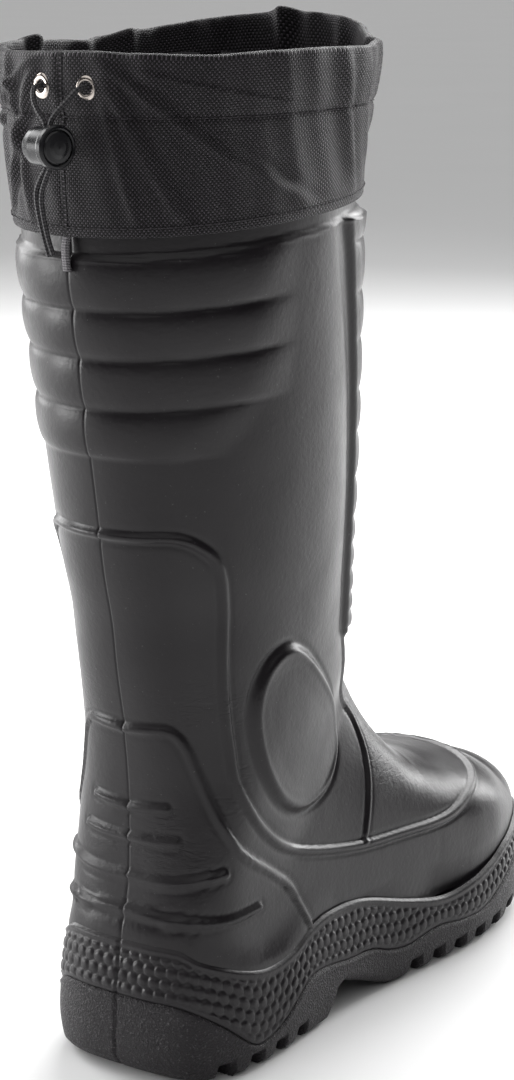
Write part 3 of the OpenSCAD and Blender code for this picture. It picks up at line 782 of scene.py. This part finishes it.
def shell_relief(p, snap):
    """Outward relief of every moulded feature, the lines of the outer side mirrored inside."""
    out = pads(p) + rim(p) + strip(p) + counter_step(p)

    def lines(points, closed=False):
        both = [np.array(points, float) * (side, 1, 1) for side in (1, -1)]
        return [snap(spaced(through(q, 6, closed), 2.0, closed)) for q in both]

    def distance(points):
        left, right = lines(points)
        return np.minimum(distance_to_line(p, left, 8), distance_to_line(p, right, 8))

    out += rib(distance(WELT), 2.4, 1.7)
    out += rib(distance(COUNTER), 2.3, 1.4)
    for points in HEEL_RIBS:
        out += rib(distance(points), 2.2, 2.0)
    out += rib(distance(PANEL_EDGE), 2.0, 1.1)
    for outline in lines(DISC, True):
        out += disc_relief(p, outline)
    parting = bell(p[:, 0] - 0.12 * np.sin(p[:, 2] / 9), 0.5) * (p[:, 1] > 20)
    return out - 0.3 * parting


def even_rings(s, half_count, inset=0.0):
    """Rings of the upper with evenly spaced points, a few of them close to the parting line."""
    k = np.linspace(0, 1, 500)
    quarter = 0.5 * np.pi * k**3 * (6 * k * k - 15 * k + 10)
    half = np.concatenate([quarter, np.pi - quarter[-2::-1]])
    even = np.linspace(0, 1, half_count + 1)[1:-1]
    share = np.concatenate([[0, 0.0012, 0.0026, 0.0044], even, [1]])
    out = []
    for angle in (half, 2 * np.pi - half):
        dense = upper(s, angle, inset)
        side = np.empty((len(dense), len(share), 3))
        for i, ring in enumerate(dense):
            along = lengths(ring)
            for c in range(3):
                side[i, :, c] = np.interp(share * along[-1], along, ring[:, c])
        out.append(side)
    return np.concatenate([out[0], out[1][:, -2:0:-1]], axis=1)


def boot_shell():
    s = stations(RIM_Z, 165, 190, 36, 48)
    base = even_rings(s, 172)
    rows, columns = base.shape[:2]
    flat = flared(base.reshape(-1, 3))
    base = flat.reshape(base.shape)
    tree = BVHTree.FromPolygons(flat.tolist(), grid_faces(rows, columns).tolist())

    def snap(points):
        return np.array([tree.find_nearest(co)[0] for co in points])

    relief = shell_relief(flat, snap).reshape(rows, columns)
    toe_fade = 1 - blend(rows - 12, rows - 2, np.arange(rows))
    outer = base + ring_normals(base) * (relief * toe_fade[:, None])[..., None]
    s_in = stations(RIM_Z, 30, 30, 8, 16, WALL)
    inner = even_rings(s_in, 172, WALL)
    lip = even_rings(s[:1], 172, WALL * 0.5) + np.array([0, 0, 0.8])
    grid = np.vstack([inner[::-1], lip, outer])
    ends = [inner[-1].mean(0), outer[-1].mean(0)]
    capped_piece("boot_shell", grid, ends, SHELL_EVA, ["shell"])


# ---- the sole ----


def outline_loop(step):
    """Even points along the sole's outline, their outward normals and the length so far."""
    line = spaced(through(OUTLINE, 24, True), step, True)
    t = unit(np.roll(line, -1, 0) - np.roll(line, 1, 0))
    normal = np.stack([-t[:, 1], t[:, 0]], 1)
    if np.sum(normal * (line - line.mean(0))) < 0:
        normal = -normal
    return line, normal, lengths(line)


DOME_PITCH = 5.6
DOME_HEIGHT = 0.9


def domes(along, height, pitch):
    """Rows of shallow round domes, every second row shifted by half a pitch."""
    row = np.floor(height / pitch)
    u = (along / pitch + 0.5 * (row % 2)) % 1 - 0.5
    v = height / pitch - row - 0.5
    return np.clip(1 - (u * u + v * v) / 0.235, 0, 1) ** 0.4


def heel_parting(x, y, z):
    return bell(x + 0.6 * np.sin(z / 2.3) * np.sin(z / 5.1), 0.75) * (y > 100)


def sole_band():
    line, normal, along = outline_loop(0.62)
    low = curve(TREAD_TOP, line[:, 1]) + 0.15
    high = curve(BAND_TOP, line[:, 1])
    total = along[-1] + np.linalg.norm(line[0] - line[-1])
    pitch = total / round(total / DOME_PITCH)
    rings = []
    for k in np.linspace(0, 1, 46):
        z = low + (high - low) * k
        lip = 0.9 * bell((high - z) - 2.2, 1.7)
        room = blend(1.5, 3.5, z - low) * blend(4.2, 6, high - z)
        bump = DOME_HEIGHT * domes(along, z - curve(TREAD_TOP, line[:, 1]) * 0.6, pitch) * room
        soft = -0.9 * bell(high - z, 1.0) - 0.5 * bell(z - low, 0.9)
        out = curve(SIDE, z) + lip + bump + soft - 0.9 * heel_parting(line[:, 0], line[:, 1], z)
        rings.append(np.column_stack([line + normal * out[:, None], z]))
    edge = rings[-1]
    for reach, drop in ((0.5, 0.3), (1.0, 1.0), (1.5, 1.7), (4.5, 2.4)):
        q = edge[:, :2] - normal * reach
        rings.append(np.column_stack([q, edge[:, 2] - drop]))
    inner = rings[-1]
    for k in (0.5, 1.0):
        z = inner[:, 2] * (1 - k) + (low + 0.2) * k
        rings.append(np.column_stack([inner[:, :2], z]))
    looped_piece("sole_band", np.array(rings), BAND_EVA, ["midsole"])


def underside(x, y, edge):
    """Height of the tread's underside, with the grooves between the lugs cut into it."""
    z = np.interp(y, *np.array(UNDERSIDE, float).T)
    heel = [HEEL_GROOVE_Y + LUG_PITCH * i for i in range(4)]
    ball = [BALL_GROOVE_Y - LUG_PITCH * i for i in range(8)]
    cut = np.zeros_like(y)
    for at in heel + ball:
        slant = at + 0.05 * (np.abs(x) - 40)
        width = 2.6 + 0.03 * np.abs(x)
        inner = blend(19, 22, np.abs(x))
        cut = np.maximum(cut, (1 - blend(width, width + 1.6, np.abs(y - slant))) * inner)
    for start, end, half in ((60, 126, 4.5), (-145, -18, 4.5)):
        inside = blend(start, start + 3, y) * (1 - blend(end - 3, end, y))
        cut = np.maximum(cut, inside * (1 - blend(half, half + 1.6, np.abs(x - 1))))
    rounding = 1.6 * (1 - blend(0, 4, edge)) ** 2
    return z + GROOVE_DEPTH * cut + rounding


def sole_tread():
    line, normal, _ = outline_loop(0.9)
    n = len(line)
    top = curve(TREAD_TOP, line[:, 1])
    rings = []

    def ring(out, z):
        rings.append(np.column_stack([line + normal * np.asarray(out).reshape(-1, 1), z]))

    spine_y = np.clip(line[:, 1], TOE_TIP + 45, HEEL_BACK - 45)
    spine = np.column_stack([np.zeros(n) + 1.0, spine_y])
    for k in (0.75, 0.4):
        q = (line - normal * 3) * (1 - k) + spine * k
        rings.append(np.column_stack([q, top]))
    ring(-3 + 0 * top, top)
    bottom = underside(line[:, 0], line[:, 1], np.zeros(n))
    for k in np.linspace(0, 1, 18):
        z = top + (bottom - top) * k
        proud = 0.5 * bell(top - z - 1.6, 1.5) - 0.7 * bell(top - z, 0.7)
        turned = -1.3 * (1 - blend(0, 3.2, z - bottom)) ** 2
        crack = 1.2 * heel_parting(line[:, 0], line[:, 1], z)
        ring(curve(SIDE, z) + proud + turned - crack, z)
    start = rings[-1][:, :2]
    for k in np.linspace(0, 1, 42)[1:] ** 1.15:
        q = start * (1 - k) + spine * k
        from_edge = np.linalg.norm(q - start, axis=1)
        rings.append(np.column_stack([q, underside(q[:, 0], q[:, 1], from_edge)]))
    grid = np.array(rings)
    ends = [[1.0, 0, grid[0][:, 2].mean()], [1.0, -20, GROOVE_DEPTH]]
    capped_piece("sole_tread", grid, ends, TREAD_EVA, ["outsole"])


# ---- the liner and the footbed ----


def liner_piece():
    """Soft inner boot: quilted in lozenges on the side that the leg meets."""
    angle = np.linspace(0, 2 * np.pi, 160, endpoint=False)
    s = stations(LINER_TOP, 90, 60, 14, 20, LINER_IN)
    inner = upper(s, angle, LINER_IN)
    height, turn = inner[..., 2] / 24, np.broadcast_to(angle * 9 / np.pi, inner.shape[:2])
    quilt = np.abs(np.sin(np.pi * (height + turn))) * np.abs(np.sin(np.pi * (height - turn)))
    inner = inner - ring_normals(inner) * (1.1 * quilt**0.5)[..., None]
    outer = upper(stations(LINER_TOP, 24, 24, 6, 12, LINER_OUT), angle, LINER_OUT)
    middle = upper(s[:1], angle, (LINER_IN + LINER_OUT) / 2) + np.array([0, 0, 0.5])
    grid = np.vstack([outer[::-1], middle, inner])
    ends = [outer[-1].mean(0), inner[-1].mean(0)]
    ob = capped_piece("inner_boot", grid, ends, FELT, ["liner"])


def liner_edge():
    """Ribbed binding folded over the liner's top edge."""
    angle = np.linspace(0, 2 * np.pi, 240, endpoint=False)
    profile = [(0.1, 391), (0, 392.4), (0.5, 393.4), (3, 393.9), (5.5, 393.4), (6, 392.2),
               (5.9, 390.6)]
    rings = [upper([PIVOT_Z - z], angle, WALL + 0.6 + d)[0] for d, z in profile]
    rings.append(upper([PIVOT_Z - 390.2], angle, WALL + 3.2)[0])
    grid = np.array(rings)
    ob = looped_piece("liner_edge_tape", grid, BINDING, ["liner_binding"])
    along = np.linalg.norm(np.diff(grid[3], axis=0, append=grid[3][:1]), axis=1).cumsum()
    across = np.arange(len(grid)) * 1.2
    set_cloth(ob, along[None, :], across[:, None])


def strap(name, centre_line, half, thick, side, material, replaces):
    """Flat woven strap along a line: half its width to each side along a fixed direction."""
    line = np.array(centre_line, float)
    side = unit(np.array(side, float))
    t = unit(np.gradient(line, axis=0))
    out = unit(np.cross(t, side))
    columns = [(-half, -0.5), (-half + 0.25, 0.5), (0, 0.62), (half - 0.25, 0.5), (half, -0.5)]
    grid = np.array([[p + side * a + o * b * thick for a, b in columns]
                     for p, o in zip(line, out)])
    n, m = grid.shape[:2]
    ends = [list(range(m)), list(range(n * m - 1, (n - 1) * m - 1, -1))]
    faces = list(grid_faces(n, m)) + ends
    ob = piece(name, grid.reshape(-1, 3), faces, material, replaces)
    set_cloth(ob, lengths(line)[:, None], np.linspace(-half, half, m)[None])


def pull_loop():
    """Webbing loop inside the liner at the heel side."""
    low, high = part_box("liner_pull_loop")
    y_back, bottom, top = high.y / MM, low.z / MM, high.z / MM
    lean = 2.6

    def at(depth, z):
        return (0, y_back - depth - lean * (top - z) / (top - bottom), z)

    line = [at(0.5, bottom + 1), at(0.6, bottom + 9), at(1.0, top - 6), at(2.4, top - 1.2),
            at(3.9, top - 5), at(3.9, bottom + 10), at(2.6, bottom + 1.2)]
    strap("liner_pull_strap", spaced(through(line, 8), 0.9), 6, 1.1, (1, 0, 0), WEBBING,
          ["liner_pull_loop"])


def footbed():
    """Felt insole with a shallow heel cup and a stitched edge."""
    rows = 150
    ys = np.linspace(UPPER_TOE + LINER_IN + 4, 122, rows)
    s = stations(250, 60, 260, 60, 60, LINER_IN + 0.4)
    angle = np.linspace(0, 2 * np.pi, 160, endpoint=False)
    cloud = upper(s, angle, LINER_IN + 0.4).reshape(-1, 3)
    level = cloud[np.abs(cloud[:, 2] - FOOTBED_Z) < 1.6]
    near = [level[np.abs(level[:, 1] - y) < 4][:, 0] for y in ys]

    def smoothed(values):
        return np.convolve(np.pad(values, 3, "edge"), np.ones(7) / 7, "valid")

    left = smoothed([x.min() for x in near]) + 0.4
    right = smoothed([x.max() for x in near]) - 0.4
    across = np.linspace(-1, 1, 41)
    top, low = [], []
    for i, y in enumerate(ys):
        end = min(i, rows - 1 - i)
        tight = 1 - (1 - min(end / 22, 1)) ** 2.2 * 0.75
        mid, half = (left[i] + right[i]) / 2, (right[i] - left[i]) / 2 * tight
        x = mid + half * across
        edge = half * (1 - np.abs(across))
        stitched = -0.5 * bell(edge - 3.2, 0.7)
        cup = 1.2 * (1 - blend(0, 9, edge)) * blend(40, 90, y)
        z = FOOTBED_Z - 0.4 + cup + stitched - 1.2 * (1 - blend(0, 1.2, edge))
        top.append(np.column_stack([x, np.full_like(x, y), z]))
        low.append(np.column_stack([x, np.full_like(x, y), np.full_like(x, FOOTBED_Z - 3.4)]))
    rings = np.array([np.vstack([a, b[::-1]]) for a, b in zip(top, low)])
    ends = [rings[0].mean(0), rings[-1].mean(0)]
    capped_piece("insole", rings, ends, FOOTBED_FELT, ["footbed"])


# ---- the collar ----

# Round the collar, a degree is about this long
MM_PER_DEGREE = 1.38
# Soft folds: degrees and height where each starts and ends, width, height outwards
FOLDS = [
    ((17, 443), (40, 392), 3.2, 2.2), ((15, 436), (24, 396), 2.6, 1.6),
    ((20, 449), (60, 412), 4.0, 2.0), ((24, 453), (70, 440), 3.4, 0.7),
    ((-14, 445), (-32, 398), 3.4, 2.0), ((-18, 452), (-52, 424), 4.0, 1.5),
    ((52, 426), (84, 392), 5.0, 1.2), ((96, 452), (108, 398), 4.5, 1.9),
    ((112, 448), (122, 404), 4.0, 1.8), ((130, 458), (138, 420), 3.5, 2.0),
    ((158, 456), (150, 410), 5.0, 1.6), ((182, 458), (188, 420), 4.0, 1.8),
    ((205, 460), (214, 415), 5.0, 1.8), ((232, 458), (226, 405), 5.0, 1.6),
    ((255, 455), (262, 400), 5.0, 1.5), ((285, 452), (276, 402), 5.0, 1.7),
    ((310, 456), (318, 404), 4.5, 1.7), ((334, 450), (342, 398), 3.4, 1.7),
]
# Pleats of the top edge: angle, width in degrees, depth inwards, rise of the edge
PLEATS = [(318, 3.0, 2.2, 1.2), (284, 3.2, 4.6, 2.6), (262, 3.5, 3.0, -0.6),
          (244, 3.4, 4.8, 2.2), (214, 4.5, 3.0, 0.2), (186, 3.2, 5.5, 2.8), (175, 3.0, 3.6, 0.4),
          (160, 3.6, 3.0, 0.8), (140, 4.5, 1.6, -0.6), (20, 4.0, 0.9, -0.5), (62, 6.0, 0.8, 0.4)]


def turn_from(at, degrees):
    """Signed turn from one angle to others, the short way round."""
    return (degrees - at + 180) % 360 - 180


def around(depth, width, angle):
    """Points of a ring round the shaft; angle 0 at the heel side, 90 at the outer side."""
    e = 2 / COLLAR_POWER
    x = -width * signed_power(np.sin(angle), e)
    y = COLLAR_Y + depth * signed_power(np.cos(angle), e)
    return x, y


def collar_size(z):
    rows = np.array(COLLAR, float)
    return curve(rows[:, [0, 1]], z), curve(rows[:, [0, 2]], z)


def collar_folds(angle, z):
    """Outward displacement of the fabric by its folds, pleats and the pinch of the seams."""
    degrees = np.degrees(angle)
    out = np.zeros(np.broadcast(degrees, z).shape)
    for (a0, z0), (a1, z1), width, height in FOLDS:
        k = np.clip((z0 - z) / (z0 - z1), -0.4, 1.4)
        off = turn_from(a0 + (a1 - a0) * k, degrees) * MM_PER_DEGREE
        fade = blend(-0.4, 0.15, k) * (1 - blend(0.8, 1.4, k))
        out = out + height * fade * (bell(off, width) - 0.6 * bell(off - 1.6 * width, width))
    for at, width, depth, _ in PLEATS:
        off = turn_from(at, degrees)
        out = out - depth * bell(off, width) * blend(CASING_Z - 14, COLLAR_TOP, z)
    casing = 1.0 * np.sin(np.pi * np.clip((z - CASING_Z) / (COLLAR_TOP - CASING_Z), 0, 1))
    stitch = -0.9 * bell(z - CASING_Z - 1, 1.6)
    below = 0.5 * np.sin(np.pi * np.clip((z - HEM_Z) / (CASING_Z - HEM_Z), 0, 1))
    seam = -0.8 * bell(turn_from(0, degrees), 1.0) * blend(HEM_Z, HEM_Z + 8, z)
    ripple = 0.35 * np.sin(degrees * 0.55 + z * 0.11) * blend(HEM_Z, HEM_Z + 15, z)
    fixed = blend(HEM_Z - 1, HEM_Z + 9, z)
    return out * fixed + casing + stitch + below + seam + ripple


def collar_rise(angle, z):
    """Lift of the fabric: the hem's tilt, the standing fold and the waves of the top edge."""
    depth, width = collar_size(z)
    _, y = around(depth, width, angle)
    lift = HEM_TILT * (COLLAR_Y + COLLAR[0][1] - y) * (1 - blend(HEM_Z + 8, CASING_Z, z))
    turned = np.maximum(np.cos(angle - math.radians(FOLD_ANGLE)), 0) ** 3.4
    high = blend(CASING_Z, COLLAR_TOP, z)
    lift = lift + FOLD_RISE * turned * high
    degrees = np.degrees(angle)
    for at, width, _, rise in PLEATS:
        lift = lift + rise * bell(turn_from(at, degrees), width * 1.3) * high
    return lift + 0.7 * np.sin(angle * 5 + 0.6) * high


def collar_point(angle, z, inset):
    """A point of the fabric at an angle and height, some way inside its outer face."""
    depth, width = collar_size(z)
    push = collar_folds(angle, z) - inset
    x, y = around(depth + push, width + push, angle)
    return np.stack(np.broadcast_arrays(x, y, z + collar_rise(angle, z)), -1)


def collar_piece(name, profile, columns, material, replaces):
    """Closed band round the shaft from a closed profile of (inset, height)."""
    angle = np.linspace(0, 2 * np.pi, columns, endpoint=False)
    rows = np.array(profile, float)
    grid = collar_point(angle[None, :], rows[:, 1:2], rows[:, :1])
    ob = looped_piece(name, grid, material, replaces)
    round_length = 512
    set_cloth(ob, angle[None, :] / (2 * np.pi) * round_length, rows[:, 1:2] - 2 * rows[:, :1])
    return ob


def collar_fabric():
    top = COLLAR_TOP
    up = np.linspace(HEM_Z + 0.8, top - 2.2, 62)
    outer = [(0, z) for z in up]
    over = [(0.35, top - 1.0), (1.1, top - 0.3), (2.1, top), (3.1, top - 0.3), (3.85, top - 1.0)]
    outside = CASING_IN + FABRIC
    down = [(outside - 1.2, z) for z in np.linspace(top - 2.2, CASING_Z - 1, 18)]
    foot = [(outside - 1.6, CASING_Z - 1.6), (outside - 2.2, CASING_Z - 1.4)]
    inside_up = [(CASING_IN - 1.2, z) for z in np.linspace(CASING_Z, top - 4, 8)]
    inside_down = [(FABRIC, z) for z in np.linspace(top - 4, HEM_Z + 0.8, 22)]
    hem = [(0.9, HEM_Z), (0.3, HEM_Z)]
    profile = outer + over + down + foot + inside_up + inside_down + hem
    ob = collar_piece("collar_fabric", profile, 480, NYLON, ["collar"])


def collar_facing():
    """Light lining behind the lower half of the collar."""
    outer = [(FABRIC + 0.3, z) for z in np.linspace(398, CASING_Z - 2, 16)]
    inner = [(FABRIC + 1.1, z) for z in np.linspace(CASING_Z - 2, 398, 16)]
    ob = collar_piece("collar_facing", outer + inner, 360, LINING,
                      ["collar_lining"])


def stitches(name, z, pitch, replaces):
    """A row of sewn stitches, each a small bead of thread lying in the fabric."""
    angle = np.linspace(0, 2 * np.pi, 2001)
    line = collar_point(angle, np.full_like(angle, z), np.zeros_like(angle))
    along = lengths(line)
    count = int(round(along[-1] / pitch))
    points, faces = [], []
    for i in range(count):
        a, b = (i + 0.12) * pitch, (i + 0.82) * pitch
        at = np.linspace(a, b, 7)
        t = np.interp(at, along, angle)
        arc = np.sin(np.linspace(0, np.pi, 7))
        path = collar_point(t, np.full_like(t, z), -(0.1 + 0.28 * arc))
        p, f, _ = tube(path, 0.16 + 0.14 * arc, 6)
        base = sum(len(q) for q in points)
        points.append(p)
        faces += [[v + base for v in face] for face in f]
    piece(name, np.vstack(points), faces, THREAD, replaces)


def rear_seam():
    """Felled seam up the back, and the loose tail of tape that hangs below the hem."""
    z = np.linspace(388, 459, 60)
    angle = np.zeros_like(z)
    line = collar_point(angle, z, np.full_like(z, -0.15))
    strap("rear_seam_tape", line, 1.7, 0.7, (1, 0, 0), NYLON, ["seam_tape"])
    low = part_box("seam_tape")[0].z / MM
    y0 = COLLAR_Y + COLLAR[0][1] + 0.9
    path = [(0, y0 - 2.4, 392), (0, y0 - 1.9, 386), (0.1, y0 - 0.8, 381), (-0.2, y0 - 0.5, 376),
            (-0.6, y0 - 0.8, low + 0.6)]
    strap("tape_tail", spaced(through(path, 8), 0.5), 2.2, 0.8, (1, -0.12, 0), TAPE,
          ["seam_tape"])


# ---- eyelets, cords and the cord lock ----


def eyelet_place(x):
    """Centre of an eyelet on the fabric and the direction that it faces."""
    depth, width = collar_size(EYELET_Z)
    y = depth * (1 - (abs(x) / width) ** COLLAR_POWER) ** (1 / COLLAR_POWER)
    facing = unit(np.array([x / width**2, y / depth**2, 0]))
    return np.array([x, COLLAR_Y + y, EYELET_Z]), facing


def eyelet(side, x):
    at, facing = eyelet_place(x)
    r = EYELET_HOLE_R
    front = [(-1.6, r + 0.15), (0.2, r), (0.7, r + 0.12), (1.05, r + 0.5), (1.15, r + 1.0),
             (1.0, r + 1.7), (0.75, r + 2.3), (0.4, EYELET_R - 0.15), (0.12, EYELET_R),
             (0.02, EYELET_R - 0.2), (0.0, r + 0.6), (-1.6, r + 0.45), (-1.6, r + 0.15)]
    p, f = lathe(front, 64, at, facing)
    piece(f"eyelet_ring_{side}", p, f, NICKEL, [f"eyelet_{side}"])
    back = [(-1.7, r + 0.65), (-1.4, r + 0.7), (-1.35, r + 2.2), (-1.45, r + 2.6),
            (-1.65, r + 2.5), (-1.7, r + 0.65)]
    p, f = lathe(back, 48, at, facing)
    piece(f"eyelet_back_{side}", p, f, NICKEL, [f"eyelet_washer_{side}"])


def cord_tail(side):
    """Free end of the drawcord, from its eyelet down through the lock."""
    line = spaced(through(TAILS[side], 10), 0.7)
    radius = np.full(len(line), CORD_D / 2)
    radius[-3:] = CORD_D / 2 * np.array([1.03, 1.0, 0.8])
    p, f, coords = tube(line, radius, 14)
    ob = piece(f"cord_end_{side}", p, f, CORD, [f"cord_tail_{side}"])
    set_attribute(ob, "cloth", coords)


def dress_node(name, material):
    """A CAD node that keeps its mesh gets its material."""
    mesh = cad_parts[name].data
    mesh.materials.clear()
    mesh.materials.append(material)


# ---- light, floor and camera ----


CAMERA_AT = (-0.6684, 0.9894, 0.516)
CAMERA_AIM = (-0.0001, 0.035, 0.2287)
CAMERA_LENS = 85.3
FLOOR_HALF = 30.0
# Brightest direction of the surroundings
SKY_AIM = (0.45, -0.85, 0.25)
# Name, place and size in metres, power in watts
SOFTBOXES = [("front", (-0.45, -2.0, 0.9), (0.5, 1.6), 34),
             ("toe", (0.5, -1.3, 1.4), (1.2, 1.2), 40),
             ("heel", (1.8, -0.1, 0.9), (0.8, 1.6), 30),
             ("heel_low", (1.7, 1.2, 0.4), (0.7, 0.7), 20)]
SOFTBOX_AIM = Vector((0, 0, 0.22))


def stage():
    floor_mesh = bpy.data.meshes.new("floor")
    half = FLOOR_HALF
    floor_mesh.from_pydata([(-half, -half, 0), (half, -half, 0), (half, half, 0), (-half, half, 0)],
                           [], [(0, 1, 2, 3)])
    floor_mesh.materials.append(floor_material())
    link("floor", floor_mesh)

    world = bpy.data.worlds.new("studio")
    world.use_nodes = True
    nodes, links = world.node_tree.nodes, world.node_tree.links
    where = nodes.new("ShaderNodeTexCoord")
    aim = nodes.new("ShaderNodeVectorMath")
    aim.operation = "DOT_PRODUCT"
    aim.inputs[1].default_value = SKY_AIM
    ramp = nodes.new("ShaderNodeMapRange")
    ramp.interpolation_type = "SMOOTHSTEP"
    for i, v in ((1, -0.1), (2, 0.95), (3, 0.05), (4, 1.35)):
        ramp.inputs[i].default_value = v
    links.new(where.outputs["Generated"], aim.inputs[0])
    links.new(aim.outputs["Value"], ramp.inputs[0])
    links.new(ramp.outputs[0], nodes["Background"].inputs[1])
    bpy.context.scene.world = world


def softbox(name, at, size, power):
    light = bpy.data.lights.new(name, "AREA")
    light.shape = "RECTANGLE"
    light.size, light.size_y = size
    light.energy = power
    ob = link(name, light)
    ob.location = at
    ob.rotation_euler = (SOFTBOX_AIM - Vector(at)).to_track_quat("-Z", "Y").to_euler()


def overhead(towards, strength):
    """Wide, even light from above, so that the floor stays pale out to its edge."""
    light = bpy.data.lights.new("overhead", "SUN")
    light.energy = strength
    light.angle = math.radians(100)
    ob = link("overhead", light)
    ob.rotation_euler = Vector(towards).to_track_quat("Z", "Y").to_euler()


def camera():
    """Behind the boot and to its outer side, a little above the middle of the shaft."""
    data = bpy.data.cameras.new("camera")
    data.sensor_width = 36
    data.lens = CAMERA_LENS
    ob = link("camera", data)
    ob.location = CAMERA_AT
    aim = Vector(CAMERA_AIM) - ob.location
    ob.rotation_euler = aim.to_track_quat("-Z", "Y").to_euler()
    bpy.context.scene.camera = ob


camera()
for side_name in TAILS:
    cord_tail(side_name)
dress_node("drawcord", CORD)
dress_node("lock_barrel", LOCK_PLASTIC)
dress_node("lock_plunger", BUTTON_PLASTIC)
dress_node("lock_spring", STEEL)
for side_name, side_x in EYELET_X.items():
    eyelet(side_name, side_x)

boot_shell()
sole_band()
sole_tread()
liner_piece()
liner_edge()
pull_loop()
footbed()
collar_fabric()
collar_facing()
stitches("casing_stitches", CASING_Z + 1, 3.2, ["casing_stitching"])
stitches("hem_stitches", HEM_Z + 4, 3.2, ["hem_stitching"])
rear_seam()

stage()
overhead((-0.1, 0.3, 1.0), 1.5)
for box_name, place, size, power in SOFTBOXES:
    softbox(box_name, place, size, power)
bpy.context.scene.view_settings.view_transform = "Standard"
